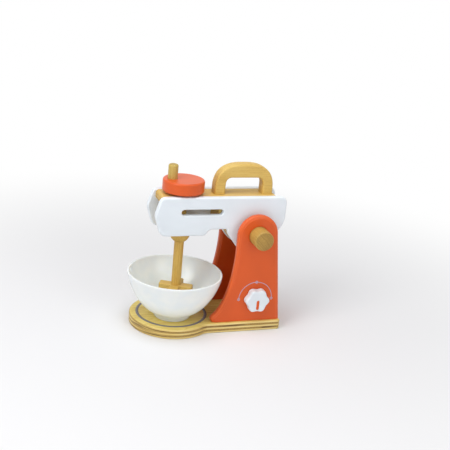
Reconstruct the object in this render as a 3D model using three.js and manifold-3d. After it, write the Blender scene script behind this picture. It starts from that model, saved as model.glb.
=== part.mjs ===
// A wooden toy kitchen mixer: a plywood base with a painted ring, two red stand panels,
// a white head that tilts on a thick dowel, a hand-cranked beater, a loose bowl and a knob.
// Millimetres. +X points to the stand, -Y to the side with the knob, +Z up. The origin is
// the middle of the base's underside. In the assembly, X is measured from the beater's axis.
import * as THREE from "three";
import { mergeVertices } from "three/addons/utils/BufferGeometryUtils.js";
import Module from "manifold-3d";

const wasm = await Module();
wasm.setup();

// Driving sizes
const GAP = 0.3;
const AXIS_X = -43;
const BASE = { thickness: 14.5, discX: -4, discRadius: 62, rearX: 152, halfWidth: 49, edge: 1.4 };
const BASE_CURVES = { neckRadius: 18, cornerRadius: 5 };
const STAND = { thickness: 11, inner: 34, topRadius: 30.3, edge: 2.6 };
const STAND_FOOT = { toeX: 43.5, toeRadius: 4.5, toeStart: 129, heelX: 151.5 };
const PIVOT = { x: 104.5, z: 147.5, radius: 14, length: 138, chamfer: 2 };
const BACK_BOARD = { x: 126.8, thickness: 10, topZ: 118.6, topRound: 2.5 };
const HEAD = { thickness: 9, inner: 19, edge: 1.7 };
const HEAD_OUTLINE = { topZ: 200.3, bottomZ: 143.3, stepZ: 152.5, noseX: -45.5, rearX: 150, lobe: 34 };
const SLOT = { x0: -8, x1: 54, z: 178.3, height: 9 };
const PLANK = { frontX: -35, rearX: 136, topZ: 199, thickness: 14, bullnose: 5 };
const BEARING = { frontX: -30, rearX: 27, bottomZ: 144.5, thickness: 12, round: 1.5 };
const CORE = { frontX: 50, stepZ: 154, rearX: 141, bottomZ: 117.5 };
const SPACER_WALL = 5;
const HANDLE = { x0: 44.3, x1: 133.3, leg: 16.5, topZ: 243.4, gripZ: 223.2, thickness: 18, edge: 3.6 };
const SHAFT = { radius: 7, bottomZ: 51.5, topZ: 212 };
const DISC = { radius: 30, bottomZ: 202.5, thickness: 17.6, edge: 2.4 };
const PEG = { radius: 7, reach: 16.2, topZ: 241, sunk: 8 };
const WASHER_RADIUS = 11.5;
const COLLAR = { radius: 15, ballZ: 139.8, topZ: 144.2 };
const PADDLE = { reach: 24.5, armWidth: 14, bottomZ: 49.5, thickness: 10, edge: 1 };
const BOWL = { x: -5.5, y: -9.5, radius: 69, height: 68.6 };
const BOWL_FOOT = { radius: 27, height: 8.8, rim: 4, hollow: 1.8, shoulderRadius: 31.5 };
const BOWL_WALL = { rim: 2.8, floor: 10.5, floorRadius: 22, roundness: 1.5 };
const KNOB = { x: 109, z: 50.3, radius: 16.9, lobe: 1.3, lobes: 6, thickness: 13, edge: 2.2 };
const KNOB_AXLE = { radius: 4, sunk: 8, capThickness: 5.5, capRadius: 9 };
const POINTER = { width: 4.4, innerEnd: 2, outerEnd: -13, depth: 1.4 };
const PIN = { radius: 3, length: 19, inPanel: 6 };
const SCREW = { radius: 2, headRadius: 4, headHeight: 2.6, length: 30, point: 3 };
const SCREW_CROSS = { width: 4.4, thickness: 0.9, depth: 1.2 };

// Where the beater stands at rest, in degrees about its own axis
const PADDLE_TURN = 62.5;
const PEG_TURN = 172;

// Paints and woods
const paint = (name, color, roughness) =>
  new THREE.MeshStandardMaterial({ name, color, roughness, metalness: 0 });
const beech = () => paint("beech", 0xdfb673, 0.6);
const plywood = () => paint("birch_plywood", 0xe0bd7d, 0.62);
const red = () => paint("red_lacquer", 0xcf5a35, 0.38);
const white = () => paint("white_lacquer", 0xe6ecec, 0.35);
const felt = () => paint("grey_felt", 0x6e6a66, 0.95);
const zinc = { name: "zinc_steel", color: 0xb9b4a6, roughness: 0.4, metalness: 1 };
const steel = () => new THREE.MeshStandardMaterial(zinc);

// One closed body with merged corners and no empty triangles, its faces pointing out
function solid(geometry) {
  const bare = new THREE.BufferGeometry();
  bare.setAttribute("position", geometry.getAttribute("position"));
  if (geometry.index) bare.setIndex(geometry.index);
  const merged = mergeVertices(bare, 1e-4);
  const p = merged.getAttribute("position");
  const index = merged.index.array;
  const kept = [];
  const a = new THREE.Vector3();
  const b = new THREE.Vector3();
  const c = new THREE.Vector3();
  let volume = 0;
  for (let i = 0; i < index.length; i += 3) {
    const [ia, ib, ic] = [index[i], index[i + 1], index[i + 2]];
    if (ia === ib || ib === ic || ic === ia) continue;
    kept.push(ia, ib, ic);
    a.fromBufferAttribute(p, ia);
    b.fromBufferAttribute(p, ib);
    c.fromBufferAttribute(p, ic);
    volume += a.dot(b.cross(c)) / 6;
  }
  if (volume < 0) kept.reverse();
  const result = new THREE.BufferGeometry();
  result.setAttribute("position", p);
  result.setIndex(kept);
  result.computeVertexNormals();
  return result;
}

function toManifold(geometry) {
  const clean = solid(geometry);
  const vertProperties = new Float32Array(clean.getAttribute("position").array);
  const triVerts = new Uint32Array(clean.index.array);
  return new wasm.Manifold(new wasm.Mesh({ numProp: 3, vertProperties, triVerts }));
}

// The first geometry with every cutter taken out of it
function cut(geometry, cutters) {
  let body = toManifold(geometry);
  for (const cutter of cutters) body = body.subtract(toManifold(cutter));
  const mesh = body.getMesh();
  const result = new THREE.BufferGeometry();
  result.setAttribute("position", new THREE.BufferAttribute(new Float32Array(mesh.vertProperties), 3));
  result.setIndex(Array.from(mesh.triVerts));
  return solid(result);
}

// A closed outline from [x, z, radius] corners, each rounded by a curve
function outline(corners) {
  const shape = new THREE.Shape();
  const count = corners.length;
  for (let i = 0; i < count; i += 1) {
    const [x, z, radius] = corners[i];
    const here = new THREE.Vector2(x, z);
    const before = new THREE.Vector2(...corners[(i + count - 1) % count].slice(0, 2));
    const after = new THREE.Vector2(...corners[(i + 1) % count].slice(0, 2));
    const start = before.sub(here).setLength(radius).add(here);
    const end = after.sub(here).setLength(radius).add(here);
    if (i === 0) shape.moveTo(start.x, start.y);
    else shape.lineTo(start.x, start.y);
    if (radius > 0) shape.quadraticCurveTo(x, z, end.x, end.y);
  }
  shape.closePath();
  return shape;
}

// A board cut from an outline, from 0 to its thickness along +Z, its edges rounded over
function board(shape, thickness, edge, curveSegments = 5, edgeSteps = 2) {
  const bevel = { bevelThickness: edge, bevelSize: edge, bevelOffset: -edge, bevelSegments: edgeSteps };
  const settings = { depth: thickness - 2 * edge, curveSegments, bevelEnabled: edge > 0, ...bevel };
  return new THREE.ExtrudeGeometry(shape, settings).translate(0, 0, edge);
}

// The same board stood up, so that its outline lies in X and Z and it reaches from y0 towards +Y
function uprightBoard(shape, y0, thickness, edge, curveSegments, edgeSteps) {
  const flat = board(shape, thickness, edge, curveSegments, edgeSteps);
  return flat.rotateX(Math.PI / 2).translate(0, y0 + thickness, 0);
}

// Round rods along Z and along Y, between two places, and a body turned from [radius, z] points
const rodY = (radius, y0, y1, sides = 24) =>
  new THREE.CylinderGeometry(radius, radius, Math.abs(y1 - y0), sides).translate(0, (y0 + y1) / 2, 0);
const rodZ = (radius, z0, z1, sides = 24) => rodY(radius, z0, z1, sides).rotateX(Math.PI / 2);
const turned = (profile, sides) =>
  new THREE.LatheGeometry(profile.map(([r, z]) => new THREE.Vector2(r, z)), sides).rotateX(Math.PI / 2);

function add(group, name, geometry, material, position = [0, 0, 0], turn = [0, 0, 0]) {
  const mesh = new THREE.Mesh(solid(geometry), material);
  mesh.name = name;
  mesh.position.set(...position);
  mesh.rotation.set(...turn);
  group.add(mesh);
  return mesh;
}

function section(parent, position = [0, 0, 0]) {
  const group = new THREE.Group();
  group.position.set(...position);
  parent.add(group);
  return group;
}

const SIDES = [["near", -1], ["far", 1]];
const pinDepth = PIN.length - PIN.inPanel;
// A board's own y0 on the near or the far side, for a gap from the middle plane
const sideY = (sign, inner, thickness) => (sign < 0 ? -inner - thickness : inner);

// Countersunk wood screws, head down, and the holes that they sit in
const SCREW_SIDES = 12;
const SCREW_LIP = 0.5;

function screwGeometry() {
  const { radius, headRadius, headHeight, length, point } = SCREW;
  const { width, thickness, depth } = SCREW_CROSS;
  const profile = [[0, 0], [headRadius, 0], [headRadius, SCREW_LIP], [radius, headHeight]];
  profile.push([radius, length - point], [0, length]);
  const bar = [width, thickness, 2 * depth];
  const cross = [0, Math.PI / 2].map((turn) => new THREE.BoxGeometry(...bar).rotateZ(turn));
  return cut(turned(profile, SCREW_SIDES), cross);
}

function screwHole() {
  const { radius, headRadius, headHeight, length } = SCREW;
  const wide = headRadius + GAP;
  const bottom = length + 2 * GAP;
  const profile = [[0, -1], [wide, -1], [wide, SCREW_LIP + GAP], [radius + GAP, headHeight + GAP]];
  profile.push([radius + GAP, bottom], [0, bottom]);
  return turned(profile, SCREW_SIDES);
}

const STAND_SCREWS_X = [62, 98, 141];
const BACK_SCREWS_Y = [-16, 16];
const SCREW_RECESS = 0.8;
const standScrewY = STAND.inner + STAND.thickness / 2;
const backScrewX = BACK_BOARD.x + BACK_BOARD.thickness / 2;
const screwSpots = [];
for (const [side, sign] of SIDES) {
  const y = sign * standScrewY;
  STAND_SCREWS_X.forEach((x, i) => screwSpots.push([`stand_screw_${side}_${i + 1}`, x, y]));
}
BACK_SCREWS_Y.forEach((y, i) => screwSpots.push([`back_board_screw_${i + 1}`, backScrewX, y]));

// The base: a disc under the bowl that runs into a straight board under the stand
function baseOutline() {
  const { discX, discRadius, rearX, halfWidth } = BASE;
  const { neckRadius, cornerRadius } = BASE_CURVES;
  const centreY = halfWidth + neckRadius;
  const centreX = discX + Math.sqrt((discRadius + neckRadius) ** 2 - centreY ** 2);
  const angle = Math.atan2(centreY, centreX - discX);
  const shape = new THREE.Shape();
  shape.moveTo(centreX, -halfWidth);
  shape.lineTo(rearX - cornerRadius, -halfWidth);
  shape.quadraticCurveTo(rearX, -halfWidth, rearX, -halfWidth + cornerRadius);
  shape.lineTo(rearX, halfWidth - cornerRadius);
  shape.quadraticCurveTo(rearX, halfWidth, rearX - cornerRadius, halfWidth);
  shape.lineTo(centreX, halfWidth);
  shape.absarc(centreX, centreY, neckRadius, -Math.PI / 2, angle - Math.PI, true);
  shape.absarc(discX, 0, discRadius, angle, 2 * Math.PI - angle, false);
  shape.absarc(centreX, -centreY, neckRadius, Math.PI - angle, Math.PI / 2, true);
  return shape;
}

function makeBase(group) {
  const flat = board(baseOutline(), BASE.thickness, BASE.edge, 10);
  const holes = screwSpots.map(([, x, y]) => screwHole().translate(x, y, SCREW_RECESS));
  add(group, "base_board", cut(flat, holes), plywood());
  for (const [name, x, y] of screwSpots) add(group, name, screwGeometry(), steel(), [x, y, SCREW_RECESS]);
}

// The stand: two red panels that flare to a toe, with a board between them behind the head
function standOutline() {
  const { topRadius } = STAND;
  const { toeX, toeRadius, toeStart, heelX } = STAND_FOOT;
  const bottom = BASE.thickness + GAP;
  const toe = { x: toeX + toeRadius, z: bottom + toeRadius, from: THREE.MathUtils.degToRad(toeStart) };
  const tip = [toe.x + toeRadius * Math.cos(toe.from), toe.z + toeRadius * Math.sin(toe.from)];
  const rearTangent = 0.12;
  const rear = [PIVOT.x + topRadius * Math.cos(rearTangent), PIVOT.z + topRadius * Math.sin(rearTangent)];
  const shape = new THREE.Shape();
  shape.moveTo(toe.x, bottom);
  shape.lineTo(heelX, bottom);
  shape.lineTo(...rear);
  shape.absarc(PIVOT.x, PIVOT.z, topRadius, rearTangent, Math.PI, false);
  shape.lineTo(PIVOT.x - topRadius, PIVOT.z - 20);
  shape.bezierCurveTo(PIVOT.x - topRadius, 85, 64, 38, ...tip);
  shape.absarc(toe.x, toe.z, toeRadius, toe.from, 1.5 * Math.PI, false);
  return shape;
}

const BACK_PINS_Z = [42, 96];
const PIN_SIDES = 10;
const pivotHole = (y0, y1) => rodY(PIVOT.radius + GAP, y0, y1, 40).translate(PIVOT.x, 0, PIVOT.z);
const pinHole = (y0, y1) => rodY(PIN.radius + GAP, y0, y1, PIN_SIDES);
const pinGeometry = (y0, y1) => rodY(PIN.radius, y0, y1, PIN_SIDES);

function makeStand(group) {
  const { inner, thickness, edge } = STAND;
  const axleRadius = KNOB_AXLE.radius + GAP;
  for (const [side, sign] of SIDES) {
    const y0 = sideY(sign, inner, thickness);
    const holes = [pivotHole(y0 - 1, y0 + thickness + 1)];
    for (const z of BACK_PINS_Z) {
      const hole = pinHole(sign * (inner - 1), sign * (inner + PIN.inPanel + GAP));
      holes.push(hole.translate(backScrewX, 0, z));
    }
    for (const x of STAND_SCREWS_X) holes.push(screwHole().translate(x, sign * standScrewY, SCREW_RECESS));
    if (sign < 0) holes.push(rodY(axleRadius, y0 - 1, y0 + thickness + 1, 20).translate(KNOB.x, 0, KNOB.z));
    const panel = uprightBoard(standOutline(), y0, thickness, edge, 7, 2);
    add(group, `stand_panel_${side}`, cut(panel, holes), red());
  }
  makeBackBoard(group);
}

function makeBackBoard(group) {
  const { x, thickness, topZ, topRound } = BACK_BOARD;
  const half = STAND.inner - GAP;
  const bottom = BASE.thickness + GAP;
  const top = [[x + thickness, topZ, topRound], [x, topZ, topRound]];
  const shape = outline([[x, bottom, 0], [x + thickness, bottom, 0], ...top]);
  const holes = BACK_SCREWS_Y.map((y) => screwHole().translate(backScrewX, y, SCREW_RECESS));
  for (const [, sign] of SIDES) {
    const ends = [sign * (half + 1), sign * (STAND.inner - pinDepth - GAP)];
    for (const z of BACK_PINS_Z) holes.push(pinHole(...ends).translate(backScrewX, 0, z));
  }
  add(group, "stand_back_board", cut(uprightBoard(shape, -half, 2 * half, 0, 3), holes), red());
  for (const [side, sign] of SIDES) {
    const ends = [sign * (STAND.inner + PIN.inPanel), sign * (STAND.inner - pinDepth)];
    BACK_PINS_Z.forEach((z, i) => {
      add(group, `back_board_pin_${side}_${i + 1}`, pinGeometry(...ends), beech(), [backScrewX, 0, z]);
    });
  }
}

// The head: two white panels with a slot, joined by a plank, a bearing block and a core
function headOutline() {
  const { topZ, bottomZ, stepZ, noseX, rearX, lobe } = HEAD_OUTLINE;
  const heelX = BACK_BOARD.x - GAP;
  const heelZ = PIVOT.z - lobe - 10;
  const tangent = THREE.MathUtils.degToRad(215.6);
  const shape = new THREE.Shape();
  shape.moveTo(-30, topZ);
  shape.quadraticCurveTo(-38, topZ, -39.6, topZ - 7);
  shape.lineTo(noseX + 1.8, 180);
  shape.quadraticCurveTo(noseX - 0.6, 173.5, noseX + 2, 167);
  shape.lineTo(-38.5, bottomZ + 8);
  shape.quadraticCurveTo(-35, bottomZ, -27, bottomZ);
  shape.lineTo(25.5, bottomZ);
  shape.quadraticCurveTo(30.5, bottomZ, 32.5, bottomZ + 4.6);
  shape.quadraticCurveTo(35.5, stepZ, 42, stepZ);
  shape.lineTo(60.5, stepZ);
  shape.quadraticCurveTo(62.3, stepZ, 62.5, stepZ - 2);
  shape.quadraticCurveTo(63.2, 145.5, 66.3, 141.4);
  shape.lineTo(PIVOT.x + lobe * Math.cos(tangent), PIVOT.z + lobe * Math.sin(tangent));
  shape.absarc(PIVOT.x, PIVOT.z, lobe, tangent, 1.5 * Math.PI, false);
  shape.quadraticCurveTo(PIVOT.x + 7, heelZ, PIVOT.x + 13, heelZ);
  shape.lineTo(heelX - 4, heelZ);
  shape.quadraticCurveTo(heelX, heelZ, heelX, heelZ + 4);
  shape.lineTo(heelX, 129);
  shape.quadraticCurveTo(heelX, 134, heelX + 4, 138);
  shape.lineTo(rearX - 10, 147.6);
  shape.quadraticCurveTo(rearX, 157.5, rearX, 171.5);
  shape.lineTo(rearX, topZ - 11);
  shape.quadraticCurveTo(rearX, topZ, rearX - 11, topZ);
  shape.closePath();
  return shape;
}

function slotOutline() {
  const end = SLOT.height / 2;
  const path = new THREE.Path();
  path.moveTo(SLOT.x0 + end, SLOT.z - end);
  path.lineTo(SLOT.x1 - end, SLOT.z - end);
  path.absarc(SLOT.x1 - end, SLOT.z, end, -Math.PI / 2, Math.PI / 2, false);
  path.lineTo(SLOT.x0 + end, SLOT.z + end);
  path.absarc(SLOT.x0 + end, SLOT.z, end, Math.PI / 2, 1.5 * Math.PI, false);
  return path;
}

const plankMidZ = PLANK.topZ - PLANK.thickness / 2;
const bearingMidZ = BEARING.bottomZ + BEARING.thickness / 2;
const coreTopZ = PLANK.topZ - PLANK.thickness - GAP;
// Dowel pins through the side panels into the plank, the bearing block and the core
const HEAD_PINS = {
  plank: [[-20, plankMidZ], [88, plankMidZ]],
  bearing: [[-20, bearingMidZ], [18, bearingMidZ]],
  core: [[77, 172], [131, 172]],
};

function pinHoles(spots, sign, y0, y1) {
  return spots.map(([x, z]) => pinHole(sign * y0, sign * y1).translate(x, 0, z));
}

function crossHoles(spots) {
  const { inner } = HEAD;
  return SIDES.flatMap(([, sign]) => pinHoles(spots, sign, inner + 1, inner - pinDepth - GAP));
}

function makeHead(group) {
  const { inner, thickness, edge } = HEAD;
  const allPins = Object.values(HEAD_PINS).flat();
  for (const [side, sign] of SIDES) {
    const y0 = sideY(sign, inner, thickness);
    const shape = headOutline();
    shape.holes.push(slotOutline());
    const sockets = pinHoles(allPins, sign, inner - 1, inner + PIN.inPanel + GAP);
    const holes = [pivotHole(y0 - 1, y0 + thickness + 1), ...sockets];
    add(group, `head_panel_${side}`, cut(uprightBoard(shape, y0, thickness, edge, 4, 1), holes), white());
    const ends = [sign * (inner + PIN.inPanel), sign * (inner - pinDepth)];
    for (const [place, spots] of Object.entries(HEAD_PINS)) {
      spots.forEach(([x, z], i) => {
        add(group, `${place}_pin_${side}_${i + 1}`, pinGeometry(...ends), beech(), [x, 0, z]);
      });
    }
  }
  makePlank(group);
  makeBearingBlock(group);
  makeCore(group);
  makePivot(group);
  makeHandle(group);
}

const HANDLE_SCREWS_X = [HANDLE.x0 + HANDLE.leg / 2, HANDLE.x1 - HANDLE.leg / 2];
const handleScrewZ = PLANK.topZ - PLANK.thickness + 0.2;

function makePlank(group) {
  const { frontX, rearX, topZ, thickness, bullnose } = PLANK;
  const z0 = topZ - thickness;
  const half = HEAD.inner - GAP;
  const nose = [[frontX, topZ, bullnose], [frontX, z0, bullnose]];
  const shape = outline([...nose, [rearX, z0, 1], [rearX, topZ, 1]]);
  const holes = [rodZ(SHAFT.radius + GAP, z0 - 1, topZ + 1, 24), ...crossHoles(HEAD_PINS.plank)];
  for (const x of HANDLE_SCREWS_X) holes.push(screwHole().translate(x, 0, handleScrewZ));
  add(group, "top_plank", cut(uprightBoard(shape, -half, 2 * half, 0, 5), holes), beech());
}

function makeBearingBlock(group) {
  const { frontX, rearX, bottomZ, thickness, round } = BEARING;
  const half = HEAD.inner - GAP;
  const topZ = bottomZ + thickness;
  const rear = [[rearX, bottomZ, round], [rearX, topZ, round]];
  const shape = outline([[frontX, bottomZ, round], ...rear, [frontX, topZ, round]]);
  const holes = [rodZ(SHAFT.radius + GAP, bottomZ - 1, topZ + 1, 24), ...crossHoles(HEAD_PINS.bearing)];
  add(group, "bearing_block", cut(uprightBoard(shape, -half, 2 * half, 0, 3), holes), beech());
}

function makeCore(group) {
  const half = HEAD.inner - GAP;
  const { frontX, stepZ, rearX, bottomZ } = CORE;
  const front = [[frontX, coreTopZ, 1], [frontX, stepZ, 1.5], [frontX + 14, stepZ, 1.5], [67.5, 143, 3]];
  const low = [[79, 127.5, 6], [92, bottomZ, 6], [118, bottomZ, 4], [123.5, 130, 4]];
  const rear = [[rearX, 152, 5], [rearX, coreTopZ, 1]];
  const holes = [pivotHole(-half - 1, half + 1), ...crossHoles(HEAD_PINS.core)];
  const block = uprightBoard(outline([...front, ...low, ...rear]), -half, 2 * half, 0, 3);
  add(group, "head_core", cut(block, holes), beech());
}

// The hinge dowel is fast in the head and turns in the stand panels
function makePivot(group) {
  const { x, z, radius, length, chamfer } = PIVOT;
  const half = length / 2;
  const end = [[radius, half - chamfer], [radius - 0.5, half - 0.7], [radius - chamfer, half], [0, half]];
  const otherEnd = end.map(([r, y]) => [r, -y]).reverse();
  const dowel = turned([...otherEnd, ...end], 32).rotateX(-Math.PI / 2);
  add(group, "pivot_dowel", dowel, beech(), [x, 0, z]);
  const spacerWidth = STAND.inner - HEAD.inner - HEAD.thickness - 2 * GAP;
  for (const [side, sign] of SIDES) {
    const y0 = sideY(sign, HEAD.inner + HEAD.thickness + GAP, spacerWidth);
    const [bore, rim] = [radius + GAP, radius + SPACER_WALL];
    const ring = [[bore, 0], [rim, 0], [rim, spacerWidth], [bore, spacerWidth], [bore, 0]];
    add(group, `pivot_spacer_${side}`, turned(ring, 24).rotateX(-Math.PI / 2), beech(), [x, y0, z]);
  }
}

// The carrying handle: an arch sawn from one thick board
function makeHandle(group) {
  const { x0, x1, leg, topZ, gripZ, thickness, edge } = HANDLE;
  const bottom = PLANK.topZ + GAP;
  const shape = new THREE.Shape();
  shape.moveTo(x0, bottom);
  shape.lineTo(x0 + leg, bottom);
  shape.lineTo(x0 + leg, gripZ - 10);
  shape.quadraticCurveTo(x0 + leg, gripZ, x0 + leg + 10, gripZ);
  shape.lineTo(x1 - leg - 10, gripZ);
  shape.quadraticCurveTo(x1 - leg, gripZ, x1 - leg, gripZ - 10);
  shape.lineTo(x1 - leg, bottom);
  shape.lineTo(x1, bottom);
  shape.lineTo(x1, topZ - 36);
  shape.quadraticCurveTo(x1, topZ, x1 - 40, topZ);
  shape.lineTo(x0 + 40, topZ);
  shape.quadraticCurveTo(x0, topZ, x0, topZ - 36);
  const holes = HANDLE_SCREWS_X.map((x) => screwHole().translate(x, 0, handleScrewZ));
  const arch = uprightBoard(shape, -thickness / 2, thickness, edge, 6);
  add(group, "carry_handle", cut(arch, holes), beech());
  HANDLE_SCREWS_X.forEach((x, i) => {
    add(group, `handle_screw_${i + 1}`, screwGeometry(), steel(), [x, 0, handleScrewZ]);
  });
}

// The beater: crank disc with its peg, felt washer, shaft, turned collar and cross paddle
function makeBeater(group) {
  const { radius, bottomZ, thickness, edge } = DISC;
  const topZ = bottomZ + thickness;
  const bevel = edge * (1 - Math.SQRT1_2);
  const lower = [[0, bottomZ], [radius - edge, bottomZ], [radius - bevel, bottomZ + bevel]];
  lower.push([radius, bottomZ + edge]);
  const upper = [[radius, topZ - edge], [radius - bevel, topZ - bevel], [radius - edge, topZ], [0, topZ]];
  const pegAngle = THREE.MathUtils.degToRad(PEG_TURN);
  const peg = [PEG.reach * Math.cos(pegAngle), PEG.reach * Math.sin(pegAngle)];
  const shaftHole = rodZ(SHAFT.radius + GAP, bottomZ - 1, SHAFT.topZ + GAP, 24);
  const pegHole = rodZ(PEG.radius + GAP, topZ - PEG.sunk - GAP, topZ + 1, 24).translate(...peg, 0);
  add(group, "crank_disc", cut(turned([...lower, ...upper], 40), [shaftHole, pegHole]), red());
  const dome = [[PEG.radius, PEG.topZ - 3.4], [5.4, PEG.topZ - 1.3], [3.2, PEG.topZ - 0.35], [0, PEG.topZ]];
  const pegProfile = [[0, topZ - PEG.sunk], [PEG.radius, topZ - PEG.sunk], ...dome];
  add(group, "crank_peg", turned(pegProfile, 24), beech(), [...peg, 0]);
  const bore = SHAFT.radius + GAP;
  const [low, high] = [PLANK.topZ + GAP, bottomZ - GAP];
  const ring = [[bore, low], [WASHER_RADIUS, low], [WASHER_RADIUS, high], [bore, high], [bore, low]];
  add(group, "felt_washer", turned(ring, 24), felt());
  add(group, "beater_shaft", rodZ(SHAFT.radius, SHAFT.bottomZ, SHAFT.topZ), beech());
  makeCollar(group, bore);
  makePaddle(group);
}

function makeCollar(group, bore) {
  const { radius, ballZ, topZ } = COLLAR;
  const steps = 6;
  const low = Math.asin(bore / radius);
  const profile = [[bore, topZ]];
  for (let i = 0; i <= steps; i += 1) {
    const angle = low + ((Math.PI / 2 - low) * i) / steps;
    profile.push([radius * Math.sin(angle), ballZ - radius * Math.cos(angle)]);
  }
  profile.push([radius, topZ - 0.8], [radius - 0.8, topZ], [bore, topZ]);
  add(group, "shaft_collar", turned(profile, 26), beech());
}

function makePaddle(group) {
  const { reach, armWidth, bottomZ, thickness, edge } = PADDLE;
  const w = armWidth / 2;
  const corners = [];
  for (let arm = 0; arm < 4; arm += 1) {
    const [c, s] = [[1, 0], [0, 1], [-1, 0], [0, -1]][arm];
    const place = (x, y, round) => [x * c - y * s, x * s + y * c, round];
    corners.push(place(w, -w, 1.5), place(reach, -w, 2), place(reach, w, 2));
  }
  const cross = board(outline(corners), thickness, edge, 2, 1).translate(0, 0, bottomZ);
  const hole = rodZ(SHAFT.radius + GAP, SHAFT.bottomZ - GAP, bottomZ + thickness + 1, 24);
  const turn = THREE.MathUtils.degToRad(PADDLE_TURN);
  add(group, "beater_paddle", cut(cross, [hole]), beech(), [0, 0, 0], [0, 0, turn]);
}

// The bowl stands loose on the base, a little off the ring's middle. One curve gives its wall
function bowlCurve(fromRadius, toRadius, fromZ, toZ) {
  const steps = 8;
  const { roundness } = BOWL_WALL;
  const points = [];
  for (let i = 0; i <= steps; i += 1) {
    const s = (i / steps) ** 1.7;
    const swell = (1 - (1 - s) ** roundness) ** (1 / roundness);
    points.push([fromRadius + (toRadius - fromRadius) * swell, fromZ + (toZ - fromZ) * s]);
  }
  return points;
}

function makeBowl(group) {
  const { radius, height } = BOWL;
  const foot = BOWL_FOOT;
  const { rim, floor, floorRadius } = BOWL_WALL;
  const lip = height - 1;
  const footInner = foot.radius - foot.rim;
  const profile = [[0, foot.hollow], [footInner - 1, foot.hollow], [footInner, 0]];
  profile.push([foot.radius - 0.8, 0], [foot.radius, 0.8]);
  profile.push([foot.radius, foot.height - 1.2], [foot.radius + 1.6, foot.height]);
  profile.push(...bowlCurve(foot.shoulderRadius, radius, foot.height + 0.6, lip));
  profile.push([radius - rim * 0.25, height], [radius - rim * 0.75, height]);
  profile.push(...bowlCurve(floorRadius, radius - rim, floor, lip).reverse(), [0, floor]);
  add(group, "bowl", turned(profile, 40), white());
}

// The speed knob turns on a short axle that a cap holds behind the panel
function knobOutline() {
  const shape = new THREE.Shape();
  const steps = KNOB.lobes * 6;
  for (let i = 0; i < steps; i += 1) {
    const angle = (2 * Math.PI * i) / steps;
    const r = KNOB.radius + KNOB.lobe * Math.cos(KNOB.lobes * angle);
    if (i === 0) shape.moveTo(r, 0);
    else shape.lineTo(r * Math.cos(angle), r * Math.sin(angle));
  }
  shape.closePath();
  return shape;
}

function pointerShape(width, grow) {
  const half = width / 2 + grow;
  const { innerEnd, outerEnd } = POINTER;
  const shape = new THREE.Shape();
  shape.absarc(0, innerEnd - width / 2, half, 0, Math.PI, false);
  shape.absarc(0, outerEnd + width / 2, half, Math.PI, 2 * Math.PI, false);
  shape.closePath();
  return shape;
}

function makeKnob(group) {
  const { thickness, edge } = KNOB;
  const front = -GAP - thickness;
  const { radius, sunk, capThickness, capRadius } = KNOB_AXLE;
  const pocket = uprightBoard(pointerShape(POINTER.width, 0), front - 1, POINTER.depth + 1, 0, 4);
  const axleHole = rodY(radius + GAP, -GAP - sunk - GAP, 1, 20);
  const body = uprightBoard(knobOutline(), front, thickness, edge, 4, 2);
  add(group, "speed_knob", cut(body, [pocket, axleHole]), white());
  const proud = 0.2;
  const inlayShape = pointerShape(POINTER.width, -GAP / 2);
  const inlay = uprightBoard(inlayShape, front - proud, POINTER.depth - GAP + proud, 0.3, 4, 1);
  add(group, "knob_pointer", inlay, red());
  const capStart = STAND.thickness + GAP;
  add(group, "knob_axle", rodY(radius, -GAP - sunk, capStart + capThickness - 2, 20), beech());
  const capHole = rodY(radius + GAP, capStart - 1, capStart + capThickness - 2 + GAP, 20);
  const bevel = 1.2;
  const face = [[0, capThickness], [capRadius - bevel, capThickness], [capRadius, capThickness - bevel]];
  const cap = turned([[0, 0], [capRadius, 0], ...face.reverse()], 28).rotateX(-Math.PI / 2);
  add(group, "knob_cap", cut(cap.translate(0, capStart, 0), [capHole]), beech());
}

const mixer = new THREE.Group();
const assembly = section(mixer, [AXIS_X, 0, 0]);
makeBase(section(assembly));
makeStand(section(assembly));
makeHead(section(assembly));
makeBeater(section(assembly));
makeBowl(section(assembly, [BOWL.x, BOWL.y, BASE.thickness + GAP]));
makeKnob(section(assembly, [KNOB.x, -STAND.inner - STAND.thickness, KNOB.z]));

export default mixer;
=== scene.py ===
# %% [markdown]
# A wooden toy mixer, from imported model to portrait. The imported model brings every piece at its
# real size and in its real place. This lesson gives each piece the finish that the real one
# has: sawn, rounded and varnished wood, sprayed lacquer, moulded plastic, felt and zinc.

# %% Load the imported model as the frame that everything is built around
import math
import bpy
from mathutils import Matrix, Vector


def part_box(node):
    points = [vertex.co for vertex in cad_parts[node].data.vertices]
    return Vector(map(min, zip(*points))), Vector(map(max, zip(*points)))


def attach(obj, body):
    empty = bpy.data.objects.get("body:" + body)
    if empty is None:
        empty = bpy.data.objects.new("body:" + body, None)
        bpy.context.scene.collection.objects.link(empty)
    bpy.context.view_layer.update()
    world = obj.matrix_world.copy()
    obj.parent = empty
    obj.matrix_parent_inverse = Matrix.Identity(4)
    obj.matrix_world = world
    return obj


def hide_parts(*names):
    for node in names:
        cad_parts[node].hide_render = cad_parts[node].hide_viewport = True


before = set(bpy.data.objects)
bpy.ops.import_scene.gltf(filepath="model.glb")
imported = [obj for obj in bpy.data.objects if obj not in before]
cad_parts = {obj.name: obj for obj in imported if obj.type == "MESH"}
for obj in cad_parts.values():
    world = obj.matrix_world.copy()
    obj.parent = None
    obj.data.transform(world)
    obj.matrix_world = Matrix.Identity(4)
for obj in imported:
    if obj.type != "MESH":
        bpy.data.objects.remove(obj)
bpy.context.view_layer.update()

from types import SimpleNamespace

import bmesh
import bpy
from mathutils import Matrix, Vector

MM = 0.001
scene = bpy.context.scene
print("pieces in the frame:", len(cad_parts))

# %% [markdown]
# The camera comes first, because it decides which details are worth making. The toy is seen
# from its bowl side, a little from above, through a long lens that keeps the proportions calm.
# The picture that it is matched to is slightly rolled, so the camera rolls by the same angle.
# A camera can be aimed with a constraint, but a matrix built from its own right, up and back
# directions says exactly where it looks, with the roll in it.

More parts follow.
